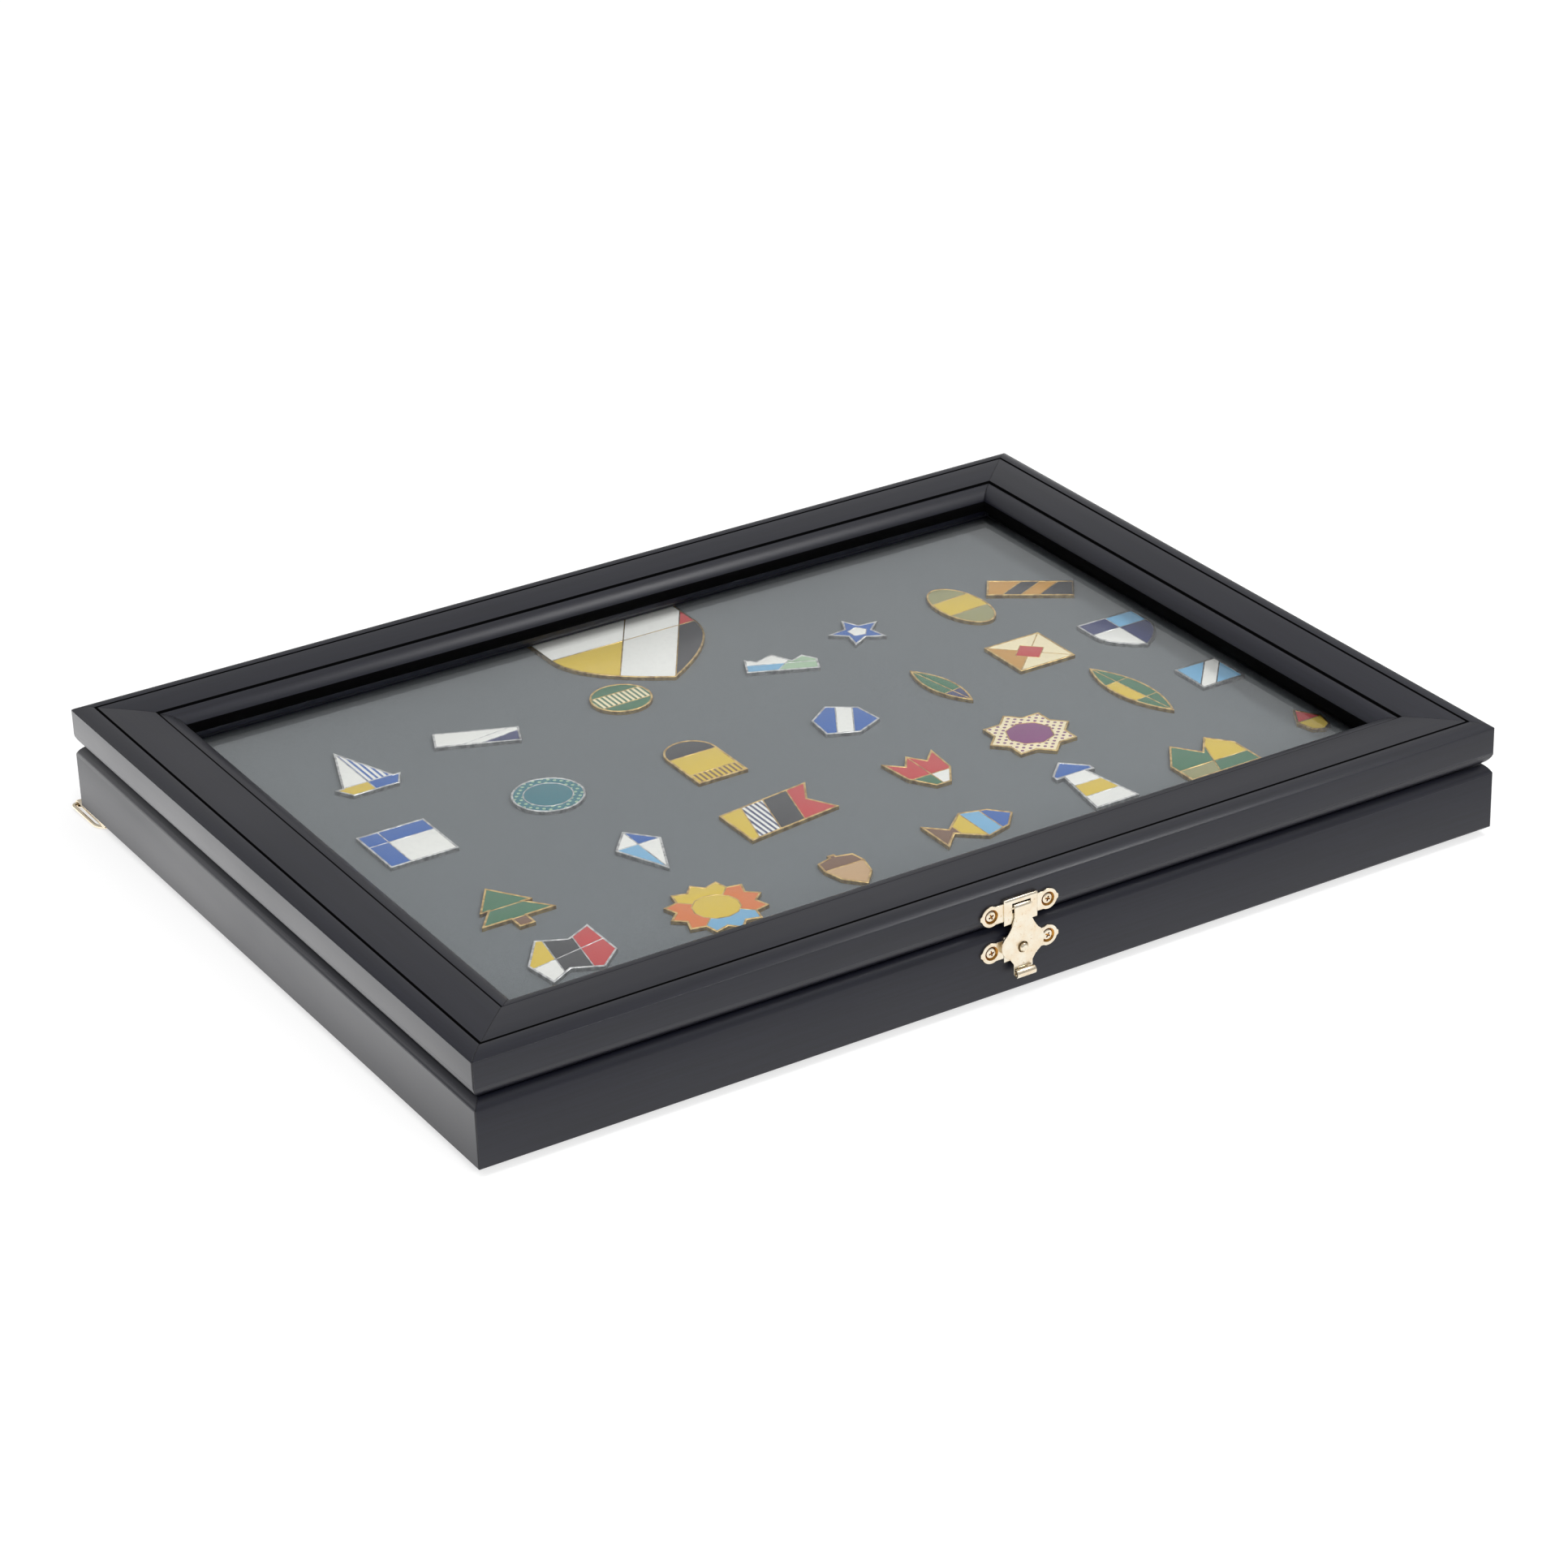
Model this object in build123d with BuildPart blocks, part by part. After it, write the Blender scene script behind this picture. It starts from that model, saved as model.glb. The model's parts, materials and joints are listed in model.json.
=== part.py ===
from build123d import *

import os
from dataclasses import dataclass
from math import atan, cos, degrees, pi, radians, sin, tan

# Enamel pin display case: a flat wooden box with a hinged glass lid, a latch, wall hangers and a
# felt board full of enamel pins. Millimetres. The origin is the middle of the footprint on the
# surface that the case stands on, +Z is up, +X runs along the long side, the latch is at -Y.

# ---------------------------------------------------------------- driving dimensions
CASE_LENGTH = 400.0
CASE_WIDTH = 300.0
CORNER_R = 0.8  # eased vertical corners

BUMPER_H = 3.0
BUMPER_R = 3.0
BUMPER_TIP_R = 2.5
BUMPER_SIDES = 14
BUMPER_INSET = 6.0
BUMPER_YS = (-134.0, 108.0)  # set back, so that the walls hide them from above

BOX_H = 24.3
WALL = 10.0
SHOULDER_IN = 2.8
SHOULDER_DROP = 3.5
SHOULDER_CROWN = 0.35
FOOT_R = 1.0
PANEL_T = 3.0
PANEL_LIFT = 2.5
GROOVE_DEPTH = 3.5
PANEL_PLAY = 0.2

LID_GAP = 0.4
LID_WIDTH = 24.4  # from the outer face to the glass rabbet
SIGHT_IN = 30.4
UNDERCUT_IN = 3.0
UNDERCUT_H = 6.0
UNDERCUT_CROWN = 0.95
ARRIS_H = 13.7
BEAD_IN = 6.4
BEAD_H = 15.5
BEAD_CROWN = 0.6  # how far the bead stands proud of its chord
QUIRK_W = 0.7
QUIRK_D = 0.6
FLAT_END = 22.9
FLAT_CROWN = 0.2
OVOLO_CROWN = 1.1
SIGHT_H = 11.3
RABBET_H = 7.3

GLASS_T = 2.0
GLASS_PLAY = 0.5
STRIP_W = 4.0
STRIP_H = 3.5
STRIP_GAP = 0.2

FELT_T = 1.0
FELT_TOP = 22.0  # above the underside of the box
FELT_SKIRT = 12.0
BOARD_PLAY = 0.5

SHANK_R = 1.0
SCREW_SIDES = 10
SCREW_LENGTH = 9.0

HINGE_X = 110.0
HINGE_INSET = 2.0
LEAF_LENGTH = 25.0
LEAF_WIDTH = 7.4
LEAF_T = 0.8
LEAF_HEAD_R = 1.9
LEAF_SCREW_X = 8.2
LEAF_SCREW_IN = 4.7
LEAF_SEAT = 0.5
KNUCKLE_R = 1.8
KNUCKLE_SIDES = 16
KNUCKLE_SEAT = 4.3  # half the gap that the middle knuckle turns in
KNUCKLE_GAP = 0.2
KNUCKLE_ROOM = 0.3
HINGE_PIN_R = 0.75
HINGE_PIN_SIDES = 12
RUNNING = 0.05  # radial clearance of every fit

LATCH_X = 1.2
LATCH_LID_Z = 30.2  # plate centres above the underside of the box
LATCH_BOX_Z = 16.7
LATCH_AXIS_Z = 31.5
LATCH_AXIS_OUT = 1.5
PLATE_T = 0.8
PLATE_TIP_X = 15.3
PLATE_TIP_HALF = 0.7
LOBE_X = 11.1
LOBE_R = 3.75
LOBE_SIDES = 24
BLOCK_W = 13.2
BLOCK_H = 9.4
NECK_H = 6.6
BLOCK_OUT = 1.9
CATCH_OUT = 1.7
BLOCK_BEVEL = 0.5
WINDOW_W = 7.2
WINDOW_H = 3.4
BAR_R = 0.55
BAR_SIDES = 12
ROLL_R = 1.2
ROLL_SIDES = 16
NUB_R = 1.55
NUB_SIDES = 16
NUB_OUT = 3.9
NUB_ROOM = 0.45
NUB_ROUND = 0.5
SEAT_R = 2.5
SEAT_DEPTH = 0.7
SEAT_SIDES = 16
LATCH_HEAD_R = 1.8
LATCH_HEAD_T = 0.6
LATCH_HEAD_SET = 0.55
LATCH_HEAD_BEVEL = 0.35

TONGUE_T = 0.6
NECK_HALF = 3.2
NECK_DROP = 3.5
FLARE = (4.3, 6.3)
SHOULDER = (6.1, 9.1)
WIDEST = (8.3, 13.0)
HEEL = (5.3, 18.1)
TAB_HALF = 3.7
TAB_DROP = 20.4
CURL_R = 1.5
CURL_DROP = 23.6
CURL_MOUTH = 65.0  # open angle between the curl's end and the sheet

STRAP_W = 9.0
STRAP_T = 0.6
STRAP_SLIT = 0.06
STRAP_FRONT_Y = 131.0
STRAP_INSET = 5.0
LOOP_BEHIND = 5.2
LOOP_FLAT = 1.0
LOOP_RAMP = 3.0
HANGER_SCREW_Y = 141.0
HANGER_HEAD_R = 2.2
HANGER_HEAD_T = 0.8
HANGER_HEAD_BEVEL = 0.4
WIRE_R = 0.7
WIRE_SIDES = 6
RING_BAR_HALF = 6.2
RING_END_HALF = 5.6
RING_LENGTH = 21.5
RING_BEND = 4.5
BAR_BEND = 1.3
BEND_STEPS = 5
RING_DROOP = radians(2.3)

PIN_T = 1.5
PIN_RIM = 0.8
CELL_DEPTH = 0.35
CLOISON = 0.5
POST_R = 0.55
POST_LENGTH = 8.0
POST_POINT = 0.35
POST_SIDES = 6
REACH = 80.0  # longer than any pin
ROUND_STEPS = 36
HALF_STEPS = 14
SHIELD_SIDE = 0.4  # straight part of a shield's height
SHIELD_STEPS = 9

# ---------------------------------------------------------------- levels and places
UNDERSIDE = BUMPER_H
RIM = UNDERSIDE + BOX_H
LID_Z = RIM + LID_GAP
GLASS_TOP = LID_Z + RABBET_H
PANEL_TOP = UNDERSIDE + PANEL_LIFT + PANEL_T
FELT_Z = UNDERSIDE + FELT_TOP
HALF_L = CASE_LENGTH / 2
HALF_W = CASE_WIDTH / 2
HINGE_Y = HALF_W - HINGE_INSET
HINGE_Z = RIM + LID_GAP / 2
BARREL_ROOM_R = KNUCKLE_R + KNUCKLE_ROOM
HALF_LEAF = LEAF_LENGTH / 2
LOOP_INNER_R = WIRE_R + RUNNING
LOOP_R = LOOP_INNER_R + STRAP_T
LOOP_Y = HALF_W + LOOP_BEHIND
LOOP_Z = UNDERSIDE - LOOP_R
STRAP_LOW = UNDERSIDE - 2 * STRAP_T - STRAP_SLIT
SHEET_OUT = LATCH_AXIS_OUT + ROLL_R - TONGUE_T
HINGES = {"left": -HINGE_X, "right": HINGE_X}
HANGERS = {"left": STRAP_INSET - HALF_L, "right": HALF_L - STRAP_INSET}

# A side's plane stands across its rail: local x runs inwards from the outer face, local y is up.
SIDES = {
    "front": (Plane(origin=(0, -HALF_W, 0), x_dir=(0, 1, 0), z_dir=(1, 0, 0)), HALF_L),
    "back": (Plane(origin=(0, HALF_W, 0), x_dir=(0, -1, 0), z_dir=(-1, 0, 0)), HALF_L),
    "left": (Plane(origin=(-HALF_L, 0, 0), x_dir=(1, 0, 0), z_dir=(0, -1, 0)), HALF_W),
    "right": (Plane(origin=(HALF_L, 0, 0), x_dir=(-1, 0, 0), z_dir=(0, 1, 0)), HALF_W),
}

os.makedirs("parts", exist_ok=True)


def raised(plane, height):
    """The same plane with its origin lifted by a height."""
    return Plane(origin=plane.origin + Vector(0, 0, height), x_dir=plane.x_dir, z_dir=plane.z_dir)


def proud(start, end, crown):
    """The point that stands off the middle of a chord, on the left of its direction."""
    along_x = end[0] - start[0]
    along_y = end[1] - start[1]
    length = (along_x**2 + along_y**2) ** 0.5
    middle_x = (start[0] + end[0]) / 2
    middle_y = (start[1] + end[1]) / 2
    return (middle_x - crown * along_y / length, middle_y + crown * along_x / length)


def mirrored(side):
    """The other half of a symmetrical outline, from its top down."""
    return [(-x, y) for x, y in reversed(side)]


# ---------------------------------------------------------------- box and lid rails
# The whole case in plan, with its vertical corners eased; every outer rail is trimmed to it.
with BuildPart() as case_plan:
    with BuildSketch():
        RectangleRounded(CASE_LENGTH, CASE_WIDTH, CORNER_R)
    extrude(amount=2 * LID_Z)


def cut_mitres(plane, half):
    """Cut both ends of a rail at 45 degrees, so that it meets its neighbours."""
    for end in (-1, 1):
        corner = plane.origin + plane.z_dir * (end * half)
        split(bisect_by=Plane(origin=corner, z_dir=plane.x_dir + plane.z_dir * end), keep=Keep.BOTTOM)


def cut_hinge_seats(leaf_z):
    """Cut the leaf pockets and the room for the knuckles into a back rail."""
    for x in HINGES.values():
        with Locations((x, HINGE_Y, HINGE_Z)):
            Cylinder(BARREL_ROOM_R, LEAF_LENGTH + 2 * KNUCKLE_ROOM, rotation=(0, 90, 0), mode=Mode.SUBTRACT)
        with Locations((x, HINGE_Y, leaf_z)):
            Box(
                LEAF_LENGTH + KNUCKLE_GAP,
                LEAF_WIDTH + KNUCKLE_GAP / 2,
                LEAF_T,
                align=(Align.CENTER, Align.MAX, Align.MIN),
                mode=Mode.SUBTRACT,
            )


def box_wall(side):
    """A box side: eased foot, grooved for the bottom panel, soft shoulder below the rim."""
    plane, half = SIDES[side]
    groove_top = PANEL_LIFT + PANEL_T + PANEL_PLAY
    rim_edge = (SHOULDER_IN, BOX_H)
    shoulder = (0, BOX_H - SHOULDER_DROP)
    foot = (0, FOOT_R)
    with BuildPart() as wall:
        with BuildSketch(raised(plane, UNDERSIDE)):
            with BuildLine():
                Polyline(
                    (FOOT_R, 0),
                    (WALL, 0),
                    (WALL, PANEL_LIFT),
                    (WALL - GROOVE_DEPTH, PANEL_LIFT),
                    (WALL - GROOVE_DEPTH, groove_top),
                    (WALL, groove_top),
                    (WALL, BOX_H),
                    rim_edge,
                )
                ThreePointArc(rim_edge, proud(rim_edge, shoulder, -SHOULDER_CROWN), shoulder)
                Line(shoulder, foot)
                TangentArc(foot, (FOOT_R, 0), tangent=(0, -1))
            make_face()
        extrude(amount=half, both=True)
        cut_mitres(plane, half)
        add(case_plan.part, mode=Mode.INTERSECT)
        if side == "back":
            cut_hinge_seats(RIM - LEAF_T)
    return wall.part


def lid_rail(side):
    """A side of the lid: undercut, face, bead, quirk, crowned flat, inner quirk, ovolo and sight lip."""
    plane, half = SIDES[side]
    seat = (UNDERCUT_IN, 0)
    face_low = (0, UNDERCUT_H)
    arris = (0, ARRIS_H)
    bead_end = (BEAD_IN, BEAD_H)
    flat_start = (BEAD_IN + QUIRK_W, BEAD_H)
    flat_end = (FLAT_END, BEAD_H)
    quirk_end = (FLAT_END + QUIRK_W, BEAD_H - QUIRK_D)
    sight = (SIGHT_IN, SIGHT_H)
    with BuildPart() as rail:
        with BuildSketch(raised(plane, LID_Z)):
            with BuildLine():
                ThreePointArc(seat, proud(seat, face_low, UNDERCUT_CROWN), face_low)
                Line(face_low, arris)
                ThreePointArc(arris, proud(arris, bead_end, BEAD_CROWN), bead_end)
                Polyline(bead_end, (BEAD_IN + QUIRK_W / 2, BEAD_H - QUIRK_D), flat_start)
                ThreePointArc(flat_start, proud(flat_start, flat_end, FLAT_CROWN), flat_end)
                Polyline(flat_end, (FLAT_END + QUIRK_W / 3, BEAD_H - 1.3 * QUIRK_D), quirk_end)
                ThreePointArc(quirk_end, proud(quirk_end, sight, OVOLO_CROWN), sight)
                Polyline(sight, (SIGHT_IN, RABBET_H), (LID_WIDTH, RABBET_H), (LID_WIDTH, 0), seat)
            make_face()
        extrude(amount=half, both=True)
        cut_mitres(plane, half)
        add(case_plan.part, mode=Mode.INTERSECT)
        if side == "back":
            cut_hinge_seats(LID_Z)
    return rail.part


for side in SIDES:
    wall = box_wall(side)
    wall.label = f"box_wall_{side}"
    export_step(wall, f"parts/{wall.label}.step")
    rail = lid_rail(side)
    rail.label = f"lid_rail_{side}"
    export_step(rail, f"parts/{rail.label}.step")

# ---------------------------------------------------------------- bottom, board and glass
panel_in = WALL - GROOVE_DEPTH + PANEL_PLAY
felt_in = WALL + BOARD_PLAY
foam_in = felt_in + FELT_T
glass_in = LID_WIDTH + GLASS_PLAY

with BuildPart() as bottom_panel:
    with BuildSketch(Plane.XY.offset(UNDERSIDE + PANEL_LIFT)):
        Rectangle(CASE_LENGTH - 2 * panel_in, CASE_WIDTH - 2 * panel_in)
    extrude(amount=PANEL_T)
bottom_panel.part.label = "bottom_panel"
export_step(bottom_panel.part, "parts/bottom_panel.step")

with BuildPart() as foam_pad:
    with BuildSketch(Plane.XY.offset(PANEL_TOP)):
        Rectangle(CASE_LENGTH - 2 * foam_in, CASE_WIDTH - 2 * foam_in)
    extrude(amount=FELT_Z - FELT_T - PANEL_TOP)
foam_pad.part.label = "foam_pad"
export_step(foam_pad.part, "parts/foam_pad.step")

# The felt lies on the foam and is turned down over its four edges.
with BuildPart() as felt_cover:
    with BuildSketch(Plane.XY.offset(FELT_Z - FELT_SKIRT)):
        Rectangle(CASE_LENGTH - 2 * felt_in, CASE_WIDTH - 2 * felt_in)
    extrude(amount=FELT_SKIRT)
    fillet(felt_cover.faces().sort_by(Axis.Z)[-1].edges(), radius=0.8 * FELT_T)
    with BuildSketch(Plane.XY.offset(FELT_Z - FELT_SKIRT)):
        Rectangle(CASE_LENGTH - 2 * foam_in, CASE_WIDTH - 2 * foam_in)
    extrude(amount=FELT_SKIRT - FELT_T, mode=Mode.SUBTRACT)
felt_cover.part.label = "felt_cover"
export_step(felt_cover.part, "parts/felt_cover.step")

with BuildPart() as glass_pane:
    with BuildSketch(Plane.XY.offset(GLASS_TOP - GLASS_T)):
        Rectangle(CASE_LENGTH - 2 * glass_in, CASE_WIDTH - 2 * glass_in)
    extrude(amount=GLASS_T)
glass_pane.part.label = "glass_pane"
export_step(glass_pane.part, "parts/glass_pane.step")


def glazing_strip(plane, half):
    """A bevelled strip that holds one edge of the glass up in the rabbet."""
    strip_half = half - LID_WIDTH - STRIP_GAP
    base = Plane(origin=plane.origin + plane.x_dir * LID_WIDTH, x_dir=plane.x_dir, z_dir=plane.z_dir)
    bevel_low = (STRIP_W / 2, 0)
    bevel_high = (STRIP_W, STRIP_H / 2)
    with BuildPart() as strip:
        with BuildSketch(raised(base, GLASS_TOP - GLASS_T - STRIP_H)):
            Polygon((0, 0), bevel_low, bevel_high, (STRIP_W, STRIP_H), (0, STRIP_H), align=None)
        extrude(amount=strip_half, both=True)
        cut_mitres(base, strip_half)
    return strip.part


strips = [glazing_strip(plane, half) for plane, half in SIDES.values()]
with BuildPart() as glazing_strips:
    for strip in strips:
        add(strip)
glazing_strips.part.label = "glazing_strips"
export_step(glazing_strips.part, "parts/glazing_strips.step")


# ---------------------------------------------------------------- hinges
def hinge_leaf(x, leaf_z, knuckles, clearings, bore_r, heads_up):
    """A hinge leaf: plate, its knuckles, room for the other leaf's and seated screw holes.

    The lid's knuckle turns on the pin and the case's are pressed on it, so each has its own bore.
    """
    face_z = leaf_z + LEAF_T if heads_up else leaf_z
    face_turn = (0, 0, 1) if heads_up else (0, 0, -1)
    with BuildPart() as leaf:
        with BuildSketch(Plane(origin=(x, HINGE_Y, leaf_z))):
            Rectangle(LEAF_LENGTH, LEAF_WIDTH, align=(Align.CENTER, Align.MAX))
        extrude(amount=LEAF_T)
        for start, end in clearings:
            with BuildSketch(Plane(origin=(x + start, HINGE_Y, HINGE_Z), z_dir=(1, 0, 0))):
                RegularPolygon(BARREL_ROOM_R, KNUCKLE_SIDES)
            extrude(amount=end - start, mode=Mode.SUBTRACT)
        for start, end in knuckles:
            with BuildSketch(Plane(origin=(x + start, HINGE_Y, HINGE_Z), z_dir=(1, 0, 0))):
                RegularPolygon(KNUCKLE_R, KNUCKLE_SIDES)
            extrude(amount=end - start)
        with BuildSketch(Plane(origin=(x, HINGE_Y, HINGE_Z), z_dir=(1, 0, 0))):
            RegularPolygon(bore_r, HINGE_PIN_SIDES)
        extrude(amount=LEAF_LENGTH, both=True, mode=Mode.SUBTRACT)
        seat = Plane(origin=(x, HINGE_Y - LEAF_SCREW_IN, face_z), z_dir=face_turn)
        for hole_r, depth in ((LEAF_HEAD_R, LEAF_SEAT), (SHANK_R, LEAF_T)):
            with BuildSketch(seat):
                with Locations((-LEAF_SCREW_X, 0), (LEAF_SCREW_X, 0)):
                    RegularPolygon(hole_r + RUNNING, SCREW_SIDES)
            extrude(amount=-depth, mode=Mode.SUBTRACT)
    return leaf.part


middle_half = KNUCKLE_SEAT - KNUCKLE_GAP
middle_knuckle = [(-middle_half, middle_half)]
middle_clearing = [(-KNUCKLE_SEAT, KNUCKLE_SEAT)]
outer_knuckles = [(-HALF_LEAF, -KNUCKLE_SEAT), (KNUCKLE_SEAT, HALF_LEAF)]
outer_clearings = [(-HALF_LEAF, -middle_half), (middle_half, HALF_LEAF)]
for side, x in HINGES.items():
    case_leaf = hinge_leaf(x, RIM - LEAF_T, outer_knuckles, middle_clearing, HINGE_PIN_R, True)
    case_leaf.label = f"hinge_{side}_case_leaf"
    export_step(case_leaf, f"parts/{case_leaf.label}.step")
    lid_leaf = hinge_leaf(x, LID_Z, middle_knuckle, outer_clearings, HINGE_PIN_R + RUNNING, False)
    lid_leaf.label = f"hinge_{side}_lid_leaf"
    export_step(lid_leaf, f"parts/{lid_leaf.label}.step")

with BuildPart() as hinge_pins:
    for x in HINGES.values():
        with BuildSketch(Plane(origin=(x, HINGE_Y, HINGE_Z), z_dir=(1, 0, 0))):
            RegularPolygon(HINGE_PIN_R, HINGE_PIN_SIDES)
        extrude(amount=HALF_LEAF, both=True)
hinge_pins.part.label = "hinge_pins"
export_step(hinge_pins.part, "parts/hinge_pins.step")


# ---------------------------------------------------------------- screws
def screws(name, seats, head_r, head_t, bevel):
    """A group of equal screws. Each seat plane is the one its head rests on, facing out of the head."""
    with BuildPart() as group:
        for seat in seats:
            with BuildSketch(seat):
                RegularPolygon(head_r, SCREW_SIDES)
            extrude(amount=head_t)
            if bevel:
                top = group.faces(Select.LAST).sort_by(Axis(seat.origin, seat.z_dir))[-1]
                chamfer(top.edges(), length=bevel)
            with BuildSketch(seat):
                RegularPolygon(SHANK_R, SCREW_SIDES)
            extrude(amount=head_t - SCREW_LENGTH)
    group.part.label = name
    export_step(group.part, f"parts/{name}.step")


leaf_screw_y = HINGE_Y - LEAF_SCREW_IN
leaf_screw_xs = [x + shift for x in HINGES.values() for shift in (-LEAF_SCREW_X, LEAF_SCREW_X)]
case_seats = [Plane(origin=(x, leaf_screw_y, RIM - LEAF_SEAT)) for x in leaf_screw_xs]
lid_seats = [Plane(origin=(x, leaf_screw_y, LID_Z + LEAF_SEAT), z_dir=(0, 0, -1)) for x in leaf_screw_xs]
screws("hinge_screws_case", case_seats, LEAF_HEAD_R, LEAF_SEAT, 0.0)
screws("hinge_screws_lid", lid_seats, LEAF_HEAD_R, LEAF_SEAT, 0.0)


# ---------------------------------------------------------------- latch
def front_plane(height, out=0.0, shift=0.0):
    """Plane on the front face, seen from the front: local x to the right, local y up."""
    origin = (LATCH_X + shift, -HALF_W - out, UNDERSIDE + height)
    return Plane(origin=origin, x_dir=(1, 0, 0), z_dir=(0, -1, 0))


def latch_base(height, out):
    """Plate with pointed ends, two dished screw seats and a raised, bevelled middle block."""
    with BuildPart() as base:
        with BuildSketch(front_plane(height)):
            Rectangle(BLOCK_W, BLOCK_H)
            Rectangle(2 * LOBE_X, NECK_H)
            with Locations((-LOBE_X, 0), (LOBE_X, 0)):
                RegularPolygon(LOBE_R, LOBE_SIDES)
            for way in (-1, 1):
                tip = way * PLATE_TIP_X
                lobe = way * LOBE_X
                ear = ((lobe, LOBE_R), (tip, PLATE_TIP_HALF), (tip, -PLATE_TIP_HALF), (lobe, -LOBE_R))
                Polygon(*ear, align=None)
        extrude(amount=PLATE_T)
        with BuildSketch(front_plane(height)):
            Rectangle(BLOCK_W, BLOCK_H)
        extrude(amount=out)
        chamfer(base.faces().sort_by(Axis.Y)[0].edges(), length=BLOCK_BEVEL)
        with BuildSketch(front_plane(height)):
            with Locations((-LOBE_X, 0), (LOBE_X, 0)):
                RegularPolygon(SEAT_R - SEAT_DEPTH, SEAT_SIDES)
        extrude(amount=PLATE_T, mode=Mode.SUBTRACT)
        mouths = base.edges(Select.LAST).group_by(Axis.Y)[0]
        chamfer(mouths, length=SEAT_DEPTH)
    return base.part


lid_base = latch_base(LATCH_LID_Z, BLOCK_OUT)
with BuildPart() as latch_plate:
    add(lid_base)
    with BuildSketch(front_plane(LATCH_LID_Z)):
        Rectangle(BLOCK_W - 2 * PLATE_T, BLOCK_H - 2 * PLATE_T)
    extrude(amount=BLOCK_OUT - PLATE_T, mode=Mode.SUBTRACT)
    with BuildSketch(front_plane(LATCH_AXIS_Z)):
        Rectangle(WINDOW_W, WINDOW_H)
    extrude(amount=BLOCK_OUT, mode=Mode.SUBTRACT)
    bar_half = WINDOW_W / 2 + BAR_R
    bar_centre = (LATCH_X, -HALF_W - LATCH_AXIS_OUT, UNDERSIDE + LATCH_AXIS_Z)
    with BuildSketch(Plane(origin=bar_centre, z_dir=(1, 0, 0))):
        RegularPolygon(BAR_R, BAR_SIDES)
    extrude(amount=bar_half, both=True)
latch_plate.part.label = "latch_plate"
export_step(latch_plate.part, "parts/latch_plate.step")

box_base = latch_base(LATCH_BOX_Z, CATCH_OUT)
with BuildPart() as catch_plate:
    add(box_base)
    with BuildSketch(front_plane(LATCH_BOX_Z)):
        RegularPolygon(NUB_R, NUB_SIDES)
    extrude(amount=NUB_OUT)
    chamfer(catch_plate.faces().sort_by(Axis.Y)[0].edges(), length=NUB_ROUND)
catch_plate.part.label = "catch_plate"
export_step(catch_plate.part, "parts/catch_plate.step")

with BuildPart() as latch_tongue:
    with BuildSketch(front_plane(LATCH_AXIS_Z, SHEET_OUT)):
        with BuildLine():
            for way in (-1, 1):
                neck = (way * NECK_HALF, -NECK_DROP)
                shoulder = (way * SHOULDER[0], -SHOULDER[1])
                heel = (way * HEEL[0], -HEEL[1])
                Polyline((0, 0), (way * NECK_HALF, 0), neck)
                ThreePointArc(neck, (way * FLARE[0], -FLARE[1]), shoulder)
                ThreePointArc(shoulder, (way * WIDEST[0], -WIDEST[1]), heel)
                Polyline(heel, (way * TAB_HALF, -TAB_DROP), (way * TAB_HALF, -CURL_DROP), (0, -CURL_DROP))
        make_face()
        with Locations((0, LATCH_BOX_Z - LATCH_AXIS_Z)):
            RegularPolygon(NUB_R + NUB_ROOM, NUB_SIDES, mode=Mode.SUBTRACT)
    extrude(amount=TONGUE_T)
    # The upper end is rolled round the plate's bar.
    with BuildSketch(Plane(origin=bar_centre, z_dir=(1, 0, 0))):
        RegularPolygon(ROLL_R, ROLL_SIDES)
        RegularPolygon(ROLL_R - TONGUE_T, BAR_SIDES, rotation=180 / BAR_SIDES, mode=Mode.SUBTRACT)
    extrude(amount=NECK_HALF, both=True)
    # The thumb tab is curled outwards and stops short of the sheet.
    curl_centre = (LATCH_X, -HALF_W - SHEET_OUT - CURL_R, UNDERSIDE + LATCH_AXIS_Z - CURL_DROP)
    with BuildSketch(Plane(origin=curl_centre, x_dir=(0, 1, 0), z_dir=(1, 0, 0))):
        RegularPolygon(CURL_R, ROLL_SIDES, rotation=180 / ROLL_SIDES)
        RegularPolygon(CURL_R - TONGUE_T, ROLL_SIDES, rotation=180 / ROLL_SIDES, mode=Mode.SUBTRACT)
        mouth = 2 * CURL_R
        mouth_end = (mouth / tan(radians(CURL_MOUTH)), mouth)
        Polygon((0, 0), (mouth, 0), (mouth, mouth), mouth_end, align=None, mode=Mode.SUBTRACT)
    extrude(amount=TAB_HALF, both=True)
latch_tongue.part.label = "latch_tongue"
export_step(latch_tongue.part, "parts/latch_tongue.step")

for name, height in (("latch_screws_lid", LATCH_LID_Z), ("latch_screws_case", LATCH_BOX_Z)):
    seats = [front_plane(height, PLATE_T - LATCH_HEAD_SET, shift) for shift in (-LOBE_X, LOBE_X)]
    screws(name, seats, LATCH_HEAD_R, LATCH_HEAD_T, LATCH_HEAD_BEVEL)

# ---------------------------------------------------------------- hangers and bumpers
def bend(x, y, radius, start, end):
    """The corners of a bend about a centre, from one direction to another in degrees."""
    turns = [radians(start + (end - start) * step / BEND_STEPS) for step in range(BEND_STEPS + 1)]
    return [(x + radius * cos(turn), y + radius * sin(turn)) for turn in turns]


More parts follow.
